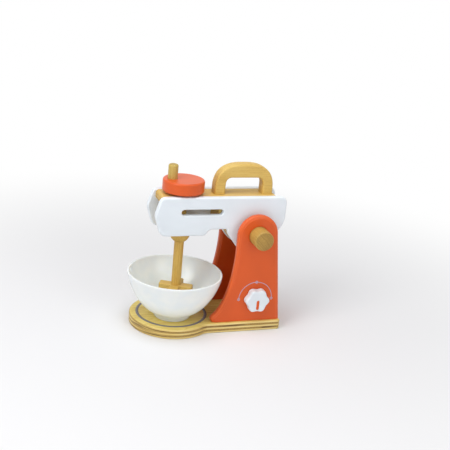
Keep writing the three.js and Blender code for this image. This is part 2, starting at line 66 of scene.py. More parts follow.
# %% Camera
CAMERA_PLACE = Vector((-0.3812, -1.1071, 0.5478))
AZIMUTH, ELEVATION, ROLL = (math.radians(a) for a in (-20.14, 18.67, 5.5))
FOCAL_LENGTH, SENSOR = 68.1, 36.0

back = Vector((
    math.sin(AZIMUTH) * math.cos(ELEVATION),
    -math.cos(AZIMUTH) * math.cos(ELEVATION),
    math.sin(ELEVATION),
))
level_right = Vector((math.cos(AZIMUTH), math.sin(AZIMUTH), 0))
level_up = back.cross(level_right)
right = math.cos(ROLL) * level_right + math.sin(ROLL) * level_up
up = math.cos(ROLL) * level_up - math.sin(ROLL) * level_right

lens = bpy.data.cameras.new("portrait_lens")
lens.lens = FOCAL_LENGTH
lens.sensor_width = SENSOR
camera = bpy.data.objects.new("portrait_camera", lens)
axes = Matrix((right, up, back)).transposed().to_4x4()
camera.matrix_world = Matrix.Translation(CAMERA_PLACE) @ axes
scene.collection.objects.link(camera)
scene.camera = camera
print("camera stands", round(CAMERA_PLACE.length, 3), "m from the toy's origin")

# %% [markdown]
# Every finish is a small node tree. One helper adds any node: its settings are properties, and
# its inputs are given by name or number, as a value, as another node's socket, or as a list of
# sockets that meet in one input. A colour ramp's stops are a setting too. The helper hands back
# the output that the next node needs, which is mostly the first. Colours are written as they
# look on a screen, as sRGB hex values, and turned to the linear values that shaders work in.

# %% Node, colour and object helpers
def linear(hex_colour):
    """The curve of the sRGB standard, from screen values to linear ones."""
    channels = [int(hex_colour[i:i + 2], 16) / 255 for i in (1, 3, 5)]
    curve = [c / 12.92 if c <= 0.04045 else ((c + 0.055) / 1.055) ** 2.4 for c in channels]
    return (*curve, 1.0)


def node(tree, kind, inputs=None, stops=(), out=0, **settings):
    """Adds a node with its settings and links, and gives back one of its outputs."""
    made = tree.nodes.new(kind)
    for name, value in settings.items():
        setattr(made, name, value)
    for name, value in (inputs or {}).items():
        for source in value if isinstance(value, list) else [value]:
            if isinstance(source, bpy.types.NodeSocket):
                tree.links.new(source, made.inputs[name])
            else:
                made.inputs[name].default_value = source
    for i, (place, colour) in enumerate(stops):
        spots = made.color_ramp.elements
        spot = spots[i] if i < len(spots) else spots.new(place)
        spot.position, spot.color = place, linear(colour)
    return made.outputs[out] if made.outputs else None


def new_finish(name):
    finish = bpy.data.materials.new(name)
    finish.use_nodes = True
    finish.node_tree.nodes.clear()
    return finish, finish.node_tree


def object_from(bm, name, finish=None):
    """Turns a mesh under construction into an object in the scene."""
    mesh = bpy.data.meshes.new(name)
    bm.to_mesh(mesh)
    bm.free()
    if finish:
        mesh.materials.append(finish)
    made = bpy.data.objects.new(name, mesh)
    scene.collection.objects.link(made)
    return made


print("mid grey in linear light:", round(linear("#808080")[0], 3))

# %% [markdown]
# The floor is a plain pale sheet. Near the toy it is a matt surface that catches the shadow, and
# further out it fades into the white of the surroundings, so that no horizon shows. That fade is
# only for what the camera, a reflection or a clear material sees. The light that the floor
# sends back to the toy is the same everywhere.

# %% Floor and surroundings
FLOOR_RADIUS, FLOOR_SIDES, FLOOR_DROP = 3.0, 96, 0.0003
FADE = {"From Min": 0.15, "From Max": 0.85}
FLOOR_COLOUR, WHITE = "#ECECEE", (1, 1, 1, 1)
WORLD_LIGHT = 0.42


def seen_directly(tree):
    rays = node(tree, "ShaderNodeLightPath").node.outputs
    first = {0: rays["Is Camera Ray"], 1: rays["Is Glossy Ray"]}
    both = {0: node(tree, "ShaderNodeMath", first, operation="MAXIMUM"),
            1: rays["Is Transmission Ray"]}
    return node(tree, "ShaderNodeMath", both, operation="MAXIMUM")


def floor_finish():
    finish, tree = new_finish("pale_paper_floor")
    coords = node(tree, "ShaderNodeTexCoord", out="Object")
    reach = node(tree, "ShaderNodeVectorMath", {0: coords}, out="Value", operation="LENGTH")
    fade = node(tree, "ShaderNodeMapRange", {"Value": reach, **FADE},
                interpolation_type="SMOOTHSTEP")
    share = {0: fade, 1: seen_directly(tree)}
    amount = node(tree, "ShaderNodeMath", share, operation="MULTIPLY")
    matt = node(tree, "ShaderNodeBsdfDiffuse", {"Color": linear(FLOOR_COLOUR)})
    white = node(tree, "ShaderNodeEmission", {"Color": WHITE, "Strength": 1.0})
    mixed = node(tree, "ShaderNodeMixShader", {0: amount, 1: matt, 2: white})
    node(tree, "ShaderNodeOutputMaterial", {"Surface": mixed})
    return finish


sheet = bmesh.new()
bmesh.ops.create_circle(sheet, cap_ends=True, segments=FLOOR_SIDES, radius=FLOOR_RADIUS)
floor = object_from(sheet, "floor", floor_finish())
floor.data.transform(Matrix.Translation((0, 0, -FLOOR_DROP)))

world = bpy.data.worlds.new("white_room")
world.use_nodes = True
world.node_tree.nodes.clear()
sky = world.node_tree
strength = {"Factor": seen_directly(sky), "A": WORLD_LIGHT, "B": 1.0}
room = {"Color": WHITE, "Strength": node(sky, "ShaderNodeMix", strength)}
node(sky, "ShaderNodeOutputWorld", {"Surface": node(sky, "ShaderNodeBackground", room)})
scene.world = world
print("floor radius:", FLOOR_RADIUS, "m, room light:", WORLD_LIGHT)

# %% [markdown]
# Three soft boxes light the toy, as in a catalogue studio: a large key light from the upper left
# front, a weak fill from the right front, and one high over the bowl that lights the level faces
# and the bowl's inside. Area lights are used because their size gives soft shadows without more
# samples.

# %% Studio lights
LIGHT_TARGET = Vector((0.0, 0.0, 0.1))
LIGHTS = {
    "key_softbox": {"place": (-1.35, -0.75, 1.25), "size": 0.9, "watts": 13.0},
    "fill_softbox": {"place": (0.75, -1.9, 0.9), "size": 1.0, "watts": 7.0},
    "top_softbox": {"place": (-0.25, -0.25, 1.8), "size": 1.2, "watts": 14.5},
}
for name, box in LIGHTS.items():
    data = bpy.data.lights.new(name, "AREA")
    data.energy = box["watts"]
    data.size = box["size"]
    lamp = bpy.data.objects.new(name, data)
    lamp.location = box["place"]
    aim = LIGHT_TARGET - Vector(box["place"])
    lamp.rotation_euler = aim.to_track_quat("-Z", "Y").to_euler()
    scene.collection.objects.link(lamp)
scene.view_settings.view_transform = "Standard"
print("lights:", ", ".join(LIGHTS))

# %% [markdown]
# All finishes here are patterns in space, measured in millimetres, so they fit a piece of any
# shape and need no unwrapping. Wood is much finer across its grain than along it, so the first
# helper lays the grain along X and squeezes that direction. The second tells end faces, where
# the saw cut across the fibres, from faces along the grain, by the direction that a face looks.

# %% Coordinates along the grain
GRAIN_TURNS = {"x": (0, 0, 0), "y": (0, 0, -math.pi / 2), "z": (0, math.pi / 2, 0)}
END_FACE = {"From Min": 0.6, "From Max": 0.95}


def millimetres(tree, grain="x", shift=(0, 0, 0), squeeze=1.0):
    """Object coordinates in mm, grain along X. A squeeze below 1 draws patterns out."""
    coords = node(tree, "ShaderNodeTexCoord", out="Object")
    turned_to_x = node(tree, "ShaderNodeMapping", {
        "Vector": coords, "Rotation": GRAIN_TURNS[grain], "Scale": (1 / MM,) * 3})
    moved = node(tree, "ShaderNodeVectorMath", {0: turned_to_x, 1: shift}, operation="ADD")
    along = (squeeze, 1, 1)
    return node(tree, "ShaderNodeVectorMath", {0: moved, 1: along}, operation="MULTIPLY")


def sawn_across(tree, grain):
    """0 on faces along the grain and 1 on end faces."""
    normal = node(tree, "ShaderNodeTexCoord", out="Normal")
    part = node(tree, "ShaderNodeSeparateXYZ", {0: normal}, out=grain.upper())
    size = node(tree, "ShaderNodeMath", {0: part}, operation="ABSOLUTE")
    return node(tree, "ShaderNodeMapRange", {"Value": size, **END_FACE})


print("grain directions:", ", ".join(GRAIN_TURNS))

# %% [markdown]
# Beech is a close, pale golden hardwood. Its growth rings are about 1.5 mm wide here, and each
# ends in a thin darker line. The tree's heart lies outside the piece, so long faces show lines
# along the grain and end faces show arcs, as on real wood. Slow noise bends the rings and makes
# some fainter than others. Real fibres are about 0.1 mm wide, too fine to show, so they are
# drawn at about 1 mm. Beech's short dark flecks are 2 to 4 mm long and are kept at that.

# %% The pattern of solid wood
RING_BEND = 7              # the rings wander by up to this many rings' width
RING_POWER = 2.5           # how late in each ring its dark line comes
TRUNK_TAPER = (0.12, 1, 1)  # along the grain the rings narrow only slowly
RING_SHADES = {"From Min": 0.35, "From Max": 0.65, "To Min": 0.15, "To Max": 1.0}
WOOD_NOISES = (            # squeeze along the grain and noise: fibres, patches, flecks
    (0.035, {"Scale": 1.1, "Detail": 5.0, "Roughness": 0.6}),
    (0.25, {"Scale": 0.05, "Detail": 1.0}),
    (0.22, {"Scale": 1.5, "Detail": 1.0}),
)
FLECK_LEVELS = {"From Min": 0.62, "From Max": 0.7}


def growth_rings(tree, grain, shift, spacing):
    """How dark the ring line is at a point, from 0 to 1."""
    place = millimetres(tree, grain, shift, squeeze=0.06)
    slow = node(tree, "ShaderNodeTexNoise", {"Vector": place, "Scale": 0.045, "Detail": 2.0})
    cone = node(tree, "ShaderNodeVectorMath", {0: place, 1: TRUNK_TAPER}, operation="MULTIPLY")
    reach = node(tree, "ShaderNodeVectorMath", {0: cone}, out="Value", operation="LENGTH")
    bend = {0: slow, 1: RING_BEND * spacing, 2: reach}
    bent = node(tree, "ShaderNodeMath", bend, operation="MULTIPLY_ADD")
    count = node(tree, "ShaderNodeMath", {0: bent, 1: spacing}, operation="DIVIDE")
    within = node(tree, "ShaderNodeMath", {0: count}, operation="FRACT")
    line = node(tree, "ShaderNodeMath", {0: within, 1: RING_POWER}, operation="POWER")
    uneven = node(tree, "ShaderNodeTexNoise", {"W": count, "Scale": 0.6, "Detail": 2.0},
                  noise_dimensions="1D")
    shade = node(tree, "ShaderNodeMapRange", {"Value": uneven, **RING_SHADES})
    return node(tree, "ShaderNodeMath", {0: line, 1: shade}, operation="MULTIPLY")


def fibres_and_flecks(tree, grain, shift):
    """Fine streaks, slow patches of shade and short dark flecks, each from 0 to 1."""
    fibre, patch, spots = [
        node(tree, "ShaderNodeTexNoise",
             {"Vector": millimetres(tree, grain, shift, squeeze), **noise})
        for squeeze, noise in WOOD_NOISES]
    fleck = node(tree, "ShaderNodeMapRange", {"Value": spots, **FLECK_LEVELS})
    return fibre, patch, fleck


print("a ring's line is half as dark as it gets at", round(0.5 ** (1 / RING_POWER), 2),
      "of the ring's width")

# %% [markdown]
# The pieces are sanded and given thin clear water-based varnish. It is satin: the roughness is
# about 0.5, a little lower on hard ring lines, and the fibres still show as faint relief. End
# faces drink more varnish, so they are darker and their rings are clearer. The wood comes in
# four versions: its grain runs along the toy, across it for the dowels, or upright for the
# shaft, and the peg is cut from an upright stick of a duller tone.

# %% Varnished beech
RING_DEPTH = {"To Min": 0.34, "To Max": 0.85}
FIBRE_SHADE, PATCH_SHADE, END_SHADE, FLECK_SHADE = 0.75, 0.5, 0.2, 0.22
FLECK_SINK = -0.6
BEECH_STOPS = (0, 0.4, 1)


def varnished_beech(name, grain, heart, tones, spacing=1.5):
    """heart: where the rings' middle lies across the grain, in mm. tones: pale, middle, dark."""
    finish, tree = new_finish(name)
    shift = (0, -heart[0], -heart[1])
    line = growth_rings(tree, grain, shift, spacing)
    fibre, patch, fleck = fibres_and_flecks(tree, grain, shift)
    end = sawn_across(tree, grain)
    depth = node(tree, "ShaderNodeMapRange", {"Value": end, **RING_DEPTH})
    tone = node(tree, "ShaderNodeMath", {0: line, 1: depth}, operation="MULTIPLY")
    for share, weight in ((fibre, FIBRE_SHADE), (patch, PATCH_SHADE), (end, END_SHADE),
                          (fleck, FLECK_SHADE)):
        more = {0: share, 1: weight, 2: tone}
        tone = node(tree, "ShaderNodeMath", more, operation="MULTIPLY_ADD")
    even = node(tree, "ShaderNodeMapRange", {"Value": tone, "From Min": 0.35, "From Max": 1.25})
    colour = node(tree, "ShaderNodeValToRGB", {0: even}, stops=zip(BEECH_STOPS, tones))
    sunk = {0: fleck, 1: FLECK_SINK, 2: fibre}
    relief = node(tree, "ShaderNodeMath", sunk, operation="MULTIPLY_ADD")
    bump = node(tree, "ShaderNodeBump", {"Height": relief, "Strength": 0.35, "Distance": 0.0002})
    gloss = node(tree, "ShaderNodeMapRange", {"Value": even, "To Min": 0.55, "To Max": 0.45})
    skin = node(tree, "ShaderNodeBsdfPrincipled", {
        "Base Color": colour, "Roughness": gloss, "IOR": 1.5, "Normal": bump})
    node(tree, "ShaderNodeOutputMaterial", {"Surface": skin})
    return finish


beech_along = varnished_beech(
    "varnished_beech_lengthwise", "x", (70, 150), ("#E1C373", "#D7B25B", "#B28336"))
beech_across = varnished_beech(
    "varnished_beech_crosswise", "y", (60, 40), ("#C8A85D", "#BA9445", "#8B6728"), 1.4)
beech_upright = varnished_beech(
    "varnished_beech_upright", "z", (35, 80), ("#E4C36E", "#D8AE54", "#B07E32"))
beech_peg = varnished_beech(
    "varnished_beech_peg", "z", (22, 31), ("#CDB96D", "#C2A654", "#957533"))
woods = (beech_along, beech_across, beech_upright, beech_peg)
print("woods:", ", ".join(wood.name for wood in woods))

# %% [markdown]
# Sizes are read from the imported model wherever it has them, so that each finished piece sits
# just where its plain one sat. Here they are turned to millimetres, and lengths along the toy
# are measured from the beater's own axis, which is the toy's natural centre line.

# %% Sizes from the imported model
shaft_low, shaft_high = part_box("beater_shaft")
BEATER_X = (shaft_low.x + shaft_high.x) / 2 / MM


def box_mm(name):
    """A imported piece's box in mm, with X measured from the beater's axis."""
    low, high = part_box(name)
    return SimpleNamespace(
        left=low.x / MM - BEATER_X, right=high.x / MM - BEATER_X,
        near=low.y / MM, far=high.y / MM, bottom=low.z / MM, top=high.z / MM,
        x=(low.x + high.x) / 2 / MM - BEATER_X, y=(low.y + high.y) / 2 / MM,
        z=(low.z + high.z) / 2 / MM, radius=(high.x - low.x) / 2 / MM)


print("the beater's axis is at X", round(BEATER_X, 2), "mm")

# %% [markdown]
# The base is birch plywood, sawn to shape, rounded over and varnished. Its edge shows the plies,
# and every second one runs crosswise: where a ply ends at the edge it is darker and dotted with
# pores, and where it runs along the edge it is pale and streaked. The face's own direction tells
# the two apart, so the bands change places round the curved front, as on a real board. Thin
# dark glue lines lie between the plies, and here and there a crosswise ply has a gap.

# %% The edge of plywood
PLIES, GLUE_LINE = 5, 0.28
PLY_STOPS, PLY_TONES = (0.3, 0.75, 1), ("#F0DD98", "#DCBE6C", "#9C7A3A")
GLUE, GAP_SHADE = "#7E5C28", "#54391B"
STREAK_STRETCH, GAP_STRETCH = (0.06, 0.06, 1.7), (0.02, 0.02, 0.33)
END_PLY_SHADE = 0.5
GAP_LEVELS = {"From Min": 0.58, "From Max": 0.62, "To Max": 0.75}
base_box = box_mm("base_board")
base_thickness = base_box.top - base_box.bottom
PLY = base_thickness / PLIES


def ply_colour(tree, place, crosswise):
    """Pale streaks where a ply runs along the edge, darker pores where it ends there."""
    normal = node(tree, "ShaderNodeTexCoord", out="Normal")
    parts = node(tree, "ShaderNodeSeparateXYZ", {0: normal}).node.outputs
    facing = [node(tree, "ShaderNodeMath", {0: parts[axis]}, operation="ABSOLUTE") for axis in "XY"]
    end_on = node(tree, "ShaderNodeMix", {"Factor": crosswise, "A": facing[0], "B": facing[1]})
    drawn = node(tree, "ShaderNodeVectorMath", {0: place, 1: STREAK_STRETCH}, operation="MULTIPLY")
    streaks = node(tree, "ShaderNodeTexNoise", {"Vector": drawn, "Scale": 0.9, "Detail": 4.0})
    pores = node(tree, "ShaderNodeTexNoise", {"Vector": place, "Scale": 1.8, "Detail": 3.0})
    grain = node(tree, "ShaderNodeMix", {"Factor": end_on, "A": streaks, "B": pores})
    shade = {0: end_on, 1: END_PLY_SHADE, 2: grain}
    tone = node(tree, "ShaderNodeMath", shade, operation="MULTIPLY_ADD")
    return node(tree, "ShaderNodeValToRGB", {0: tone}, stops=zip(PLY_STOPS, PLY_TONES))


def plywood_edge(tree):
    place = millimetres(tree)
    height = node(tree, "ShaderNodeSeparateXYZ", {0: place}, out="Z")
    layer = node(tree, "ShaderNodeMath", {0: height, 1: PLY}, operation="DIVIDE")
    number = node(tree, "ShaderNodeMath", {0: layer}, operation="FLOOR")
    crosswise = node(tree, "ShaderNodeMath", {0: number, 1: 2.0}, operation="FLOORED_MODULO")
    off_seam = node(tree, "ShaderNodeMath", {0: layer, 1: 0.5}, operation="PINGPONG")
    glue = node(tree, "ShaderNodeMapRange", {
        "Value": off_seam, "From Max": GLUE_LINE / PLY, "To Min": 0.75, "To Max": 0.0})
    glued = {"Factor": glue, "A": ply_colour(tree, place, crosswise), "B": linear(GLUE)}
    edge = node(tree, "ShaderNodeMix", glued, out="Result", data_type="RGBA")
    drawn = node(tree, "ShaderNodeVectorMath", {0: place, 1: GAP_STRETCH}, operation="MULTIPLY")
    hollow = node(tree, "ShaderNodeTexNoise", {"Vector": drawn, "Scale": 1.0, "Detail": 0.0})
    open_here = node(tree, "ShaderNodeMapRange", {"Value": hollow, **GAP_LEVELS})
    gap = node(tree, "ShaderNodeMath", {0: open_here, 1: crosswise}, operation="MULTIPLY")
    shade = {"Factor": gap, "A": edge, "B": linear(GAP_SHADE)}
    return node(tree, "ShaderNodeMix", shade, out="Result", data_type="RGBA")


print("plies:", PLIES, "of", round(PLY, 2), "mm")

# %% [markdown]
# The board's faces are birch veneer, peeled from the log like paper from a roll. Peeling gives
# wide, wavy contour lines in place of straight rings. They are the levels of a slow noise that
# is drawn out along the grain. The face finish takes over from the edge where the surface turns
# level, which on the rounded rim lets the top ply show as a pale band, as on the real base.

# %% Varnished birch plywood
CONTOURS, CONTOUR_SHADE, BROAD_SHADE = 9.0, 0.22, 0.4
CONTOUR_SHIFT, VENEER_STOPS = (9, 40, 0), (0.45, 0.8, 1)


def varnished_plywood(name, tones):
    finish, tree = new_finish(name)
    fibre = node(tree, "ShaderNodeTexNoise", {
        "Vector": millimetres(tree, squeeze=0.03), "Scale": 0.8, "Detail": 5.0, "Roughness": 0.6})
    broad = node(tree, "ShaderNodeTexNoise", {
        "Vector": millimetres(tree, shift=CONTOUR_SHIFT, squeeze=0.2), "Scale": 0.045,
        "Detail": 1.0, "Distortion": 0.6})
    levels = node(tree, "ShaderNodeMath", {0: broad, 1: CONTOURS}, operation="MULTIPLY")
    tone = node(tree, "ShaderNodeMath", {0: levels}, operation="FRACT")
    for share, weight, rest in ((tone, CONTOUR_SHADE, fibre), (broad, BROAD_SHADE, None)):
        more = {0: share, 1: weight, 2: rest or tone}
        tone = node(tree, "ShaderNodeMath", more, operation="MULTIPLY_ADD")
    veneer = node(tree, "ShaderNodeValToRGB", {0: tone}, stops=zip(VENEER_STOPS, tones))
    level = sawn_across(tree, "z")
    shown = {"Factor": level, "A": plywood_edge(tree), "B": veneer}
    colour = node(tree, "ShaderNodeMix", shown, out="Result", data_type="RGBA")
    bump = node(tree, "ShaderNodeBump", {"Height": fibre, "Strength": 0.3, "Distance": 0.0002})
    skin = node(tree, "ShaderNodeBsdfPrincipled", {
        "Base Color": colour, "Roughness": 0.5, "IOR": 1.5, "Normal": bump})
    node(tree, "ShaderNodeOutputMaterial", {"Surface": skin})
    return finish


birch_plywood = varnished_plywood("varnished_birch_plywood", ("#F3E08D", "#EAD073", "#D3B158"))
print("base finish:", birch_plywood.name)

# %% [markdown]
# The red and white pieces are sprayed with satin water-based lacquer. It is opaque, but thin: on
# rounded edges it draws back, the wood's fibres still show as very faint relief, and the film has
# the soft waviness, about 2 mm wide, that painters call orange peel. Matting powder in the film
# scatters its reflections, so the specular level is lowered. Rounded edges are painted a lighter
# colour, partly for the thinner film there and partly as a painted highlight band midway round each
# rounding. The attribute named edge, which the board helper below stores on its rounded edges,
# tells where that lighter colour goes. The printed lines are the same kind of film without lighter
# edges.

# %% Satin lacquer on wood
THIN_FILM, THICK_FILM, THIN_AND_LIT_EDGE = 1.1, 0.92, 0.55
GLOSS_SPREAD, FIBRE_RELIEF = 0.05, 0.5


def satin_lacquer(name, colour, lit_edge_colour, roughness, grain):
    finish, tree = new_finish(name)
    cloud = node(tree, "ShaderNodeTexNoise", {
        "Vector": millimetres(tree, grain, squeeze=0.5), "Scale": 0.03, "Detail": 2.0})
    fibre = node(tree, "ShaderNodeTexNoise", {
        "Vector": millimetres(tree, grain, squeeze=0.05), "Scale": 0.8, "Detail": 4.0})
    peel = node(tree, "ShaderNodeTexNoise", {
        "Vector": millimetres(tree), "Scale": 0.55, "Detail": 1.0})
    main = linear(colour)[:3]
    film = {"Factor": cloud, "A": (*(c * THICK_FILM for c in main), 1),
            "B": (*(min(1, c * THIN_FILM) for c in main), 1)}
    # Rounded edges take the lighter colour: partly thin film, partly a painted highlight band.
    rim = node(tree, "ShaderNodeAttribute", out="Fac", attribute_name="edge")
    coat = {"Factor": node(tree, "ShaderNodeMath", {0: rim, 1: THIN_AND_LIT_EDGE}, operation="MULTIPLY"),
            "A": node(tree, "ShaderNodeMix", film, out="Result", data_type="RGBA"),
            "B": linear(lit_edge_colour)}
    paint = node(tree, "ShaderNodeMix", coat, out="Result", data_type="RGBA")
    relief = {0: fibre, 1: FIBRE_RELIEF, 2: peel}
    height = node(tree, "ShaderNodeMath", relief, operation="MULTIPLY_ADD")
    bump = node(tree, "ShaderNodeBump", {"Height": height, "Strength": 0.12, "Distance": 0.0002})
    gloss = node(tree, "ShaderNodeMapRange", {
        "Value": cloud, "To Min": roughness - GLOSS_SPREAD, "To Max": roughness + GLOSS_SPREAD})
    skin = node(tree, "ShaderNodeBsdfPrincipled", {
        "Base Color": paint, "Roughness": gloss, "IOR": 1.47, "Specular IOR Level": 0.35,
        "Normal": bump})
    node(tree, "ShaderNodeOutputMaterial", {"Surface": skin})
    return finish


# The second colour of each is the lighter one painted on rounded edges, partly a painted highlight.
orange_red = satin_lacquer("satin_orange_red_lacquer", "#DA5B24", "#E26834", 0.34, "z")
soft_white = satin_lacquer("satin_white_lacquer", "#E3EAF0", "#EAEFF3", 0.38, "x")
ring_ink = satin_lacquer("printed_grey_lilac_line", "#827C80", "#827C80", 0.5, "x")
dial_ink = satin_lacquer("printed_pale_lilac_line", "#B9AFC4", "#B9AFC4", 0.5, "x")
print("lacquers:", orange_red.name, soft_white.name)

# %% [markdown]
# The bowl is moulded from white melamine, a hard glossy plastic, against polished steel. So its
# roughness is low, and only slow waviness from the mould, about 15 mm wide, bends its
# reflections. Light enters it deeply and comes out again all round, which the subsurface
# settings give. That is what keeps the inside of the bowl bright.

# %% Moulded melamine
MELAMINE_STOPS = (0.3, 0.7)


def moulded_melamine(name, tones):
    finish, tree = new_finish(name)
    place = millimetres(tree)
    wave = node(tree, "ShaderNodeTexNoise", {"Vector": place, "Scale": 0.06, "Detail": 1.0})
    tint = node(tree, "ShaderNodeValToRGB", {0: wave}, stops=zip(MELAMINE_STOPS, tones))
    bump = node(tree, "ShaderNodeBump", {"Height": wave, "Strength": 0.08, "Distance": 0.0004})
    skin = node(tree, "ShaderNodeBsdfPrincipled", {
        "Base Color": tint, "Roughness": 0.22, "IOR": 1.5, "Subsurface Weight": 0.8,
        "Subsurface Scale": 0.012, "Subsurface Radius": (1.0, 0.95, 0.8), "Normal": bump})
    node(tree, "ShaderNodeOutputMaterial", {"Surface": skin})
    return finish


white_melamine = moulded_melamine("moulded_white_melamine", ("#E4EDED", "#EBF1ED"))
print("bowl finish:", white_melamine.name)

# %% [markdown]
# The washer is pressed wool felt: a mat of short fibres, so its noise is about half a
# millimetre fine, it scatters light at its rim, which sheen gives, and nothing on it shines. The
# screws are steel with a passivated zinc coat. It is metal with a faint warm tint, and its
# crystals show as patches of about 0.6 mm with slightly different gloss.

# %% Felt and zinc
FELT_STOPS = ((0.3, "#55504C"), (0.7, "#8C8680"))
ZINC_STOPS = ((0.0, "#C9C3AE"), (0.8, "#A8A294"))


def pressed_felt(name):
    finish, tree = new_finish(name)
    fuzz = node(tree, "ShaderNodeTexNoise", {
        "Vector": millimetres(tree), "Scale": 2.2, "Detail": 6.0, "Distortion": 1.5})
    colour = node(tree, "ShaderNodeValToRGB", {0: fuzz}, stops=FELT_STOPS)
    bump = node(tree, "ShaderNodeBump", {"Height": fuzz, "Strength": 0.8, "Distance": 0.0003})
    skin = node(tree, "ShaderNodeBsdfPrincipled", {
        "Base Color": colour, "Roughness": 0.95, "Sheen Weight": 0.4, "Normal": bump})
    node(tree, "ShaderNodeOutputMaterial", {"Surface": skin})
    return finish


def zinc_plate(name):
    finish, tree = new_finish(name)
    crystal = node(tree, "ShaderNodeTexVoronoi", {"Vector": millimetres(tree), "Scale": 1.6})
    colour = node(tree, "ShaderNodeValToRGB", {0: crystal}, stops=ZINC_STOPS)
    gloss = node(tree, "ShaderNodeMapRange", {"Value": crystal, "To Min": 0.3, "To Max": 0.45})
    skin = node(tree, "ShaderNodeBsdfPrincipled", {
        "Base Color": colour, "Metallic": 1.0, "Roughness": gloss})
    node(tree, "ShaderNodeOutputMaterial", {"Surface": skin})
    return finish


wool_felt = pressed_felt("pressed_wool_felt")
zinc_steel = zinc_plate("zinc_plated_steel")
print("small finishes:", wool_felt.name, zinc_steel.name)

# %% [markdown]
# Most of this toy is sawn from board and then rounded over with a router. The same two steps
# make every board here. First its outline is drawn in millimetres as corners, curves and arcs.
# A curve object could hold it, but plain points are simpler to inset in the next step.

# %% Outlines
FINE = 1.2          # the length of a step on a curve, in mm
FEWEST = 4          # steps on the shortest curve
SAME_POINT = 0.01   # points nearer than this are one


def arc(cx, cy, radius, first, last, count):
    angles = [first + (last - first) * i / count for i in range(count + 1)]
    return [(cx + radius * math.cos(a), cy + radius * math.sin(a)) for a in angles]


def bezier(*handles):
    """The points of the curve that these handles pull, without its start."""
    length = sum(math.dist(a, b) for a, b in zip(handles, handles[1:]))
    count = max(FEWEST, round(length / FINE))
    degree = len(handles) - 1
    points = []
    for i in range(1, count + 1):
        t = i / count
        pulls = [math.comb(degree, k) * (1 - t) ** (degree - k) * t ** k for k in range(degree + 1)]
        points.append(tuple(sum(p * h[axis] for p, h in zip(pulls, handles)) for axis in (0, 1)))
    return points


def outline(*steps):
    """Steps are ("line", x, y), ("curve", handle, ..., end) and ("arc", centre, radius, from,
    to) with angles in degrees."""
    points = []
    for kind, *step in steps:
        if kind == "line":
            points.append(tuple(step))
        elif kind == "curve":
            points += bezier(points[-1], *step)
        else:
            centre, radius, first, last = step
            first, last = math.radians(first), math.radians(last)
            count = max(FEWEST, round(abs(last - first) * radius / FINE))
            points += arc(*centre, radius, first, last, count)
    return [p for p, q in zip(points, points[1:] + points[:1]) if math.dist(p, q) > SAME_POINT]


print("a curve of 30 mm gets", len(bezier((0, 0), (15, 0), (30, 0))), "steps")

# %% [markdown]
# Plain corners are rounded by a setback, which is how far before the corner its arc starts. That
# is what a maker marks on the wood, and the arc's radius follows from it and the corner's angle.

# %% Rounded corners
CORNER_STEPS = 16   # steps on a half turn
CORNER_LEAST = 3    # steps on the slightest corner


def rounded(corners, closed=True):
    """A polygon of (x, y, setback) corners, each turned into an arc that starts at the setback."""
    points = []
    for i, (x, y, setback) in enumerate(corners):
        if setback == 0 or (not closed and i in (0, len(corners) - 1)):
            points.append((x, y))
            continue
        here = Vector((x, y))
        before = (Vector(corners[i - 1][:2]) - here).normalized()
        after = (Vector(corners[(i + 1) % len(corners)][:2]) - here).normalized()
        half = before.angle(after) / 2
        radius = setback * math.tan(half)
        centre = here + (before + after).normalized() * radius / math.sin(half)
        first = here + before * setback - centre
        last = here + after * setback - centre
        swing = first.angle_signed(last)
        count = max(CORNER_LEAST, round(abs(swing) * CORNER_STEPS / math.pi))
        for k in range(count + 1):
            arm = first.copy()
            arm.rotate(Matrix.Rotation(-swing * k / count, 2))
            points.append(tuple(centre + arm))
    return points


sample = rounded([(0, 0, 2), (10, 0, 2), (10, 10, 2), (0, 10, 2)])
print("a rounded square has", len(sample), "points")

# %% [markdown]
# Then the board is built ring by ring. Each ring is the outline moved inwards by a quarter
# circle's inset, so the rim is rounded over exactly as a router bit leaves it. A bit that is set
# a little too deep also cuts a small step, the shoulder, between the face and the rounding. A
# Bevel modifier could round the rim too, but rings made in code let the two faces have different
# radii and let the rounded rim carry the edge attribute for the lacquer.

# %% Rings round an outline
ROUND_STEPS = 6


def signed_area(loop):
    return sum(a[0] * b[1] - b[0] * a[1] for a, b in zip(loop, loop[1:] + loop[:1])) / 2


def inward(loop):
    """For each corner, how it moves when the outline is inset by one millimetre."""
    moves = []
    for i, (x, y) in enumerate(loop):
        px, py = loop[i - 1]
        nx, ny = loop[(i + 1) % len(loop)]
        one = Vector((py - y, x - px)).normalized()
        two = Vector((y - ny, nx - x)).normalized()
        moves.append((one + two) / (1 + one.dot(two)))
    return moves


def rim_profile(span, rounds, shoulder=0.0):
    """(inset, height, weight of the lighter painted edge colour, highest midway round) from one
    flat face to the other.
    """
    steps = []
    for height, radius, sign in zip(span, rounds, (1, -1)):
        quarter = []
        if shoulder:
            quarter = [(radius + 2 * shoulder, height, 0.0), (radius + shoulder, height, 1.0)]
        for k in range(ROUND_STEPS + 1):
            angle = math.pi / 2 * k / ROUND_STEPS
            inset = radius * (1 - math.sin(angle))
            drop = shoulder + (radius - shoulder) * (1 - math.cos(angle))
            quarter.append((inset, height + sign * drop, math.sin(2 * angle)))
        steps += quarter if sign > 0 else quarter[::-1]
    return steps


def add_rim(bm, points, steps, place):
    """Builds the rings along one outline and gives back the edges of the first and the last."""
    edge = bm.verts.layers.float["edge"]
    moves = inward(points)
    rings = []
    for inset, height, turn in steps:
        ring = []
        for (x, y), move in zip(points, moves):
            ring.append(bm.verts.new(place(x + move.x * inset, y + move.y * inset, height)))
            ring[-1][edge] = turn
        rings.append(ring)
    for one, two in zip(rings, rings[1:]):
        for i in range(len(one)):
            bm.faces.new((one[i - 1], one[i], two[i], two[i - 1]))
    return [[bm.edges.get((ring[i - 1], ring[i])) for i in range(len(ring))]
            for ring in (rings[0], rings[-1])]


print("a rounded edge has", ROUND_STEPS, "steps from flat to flat")

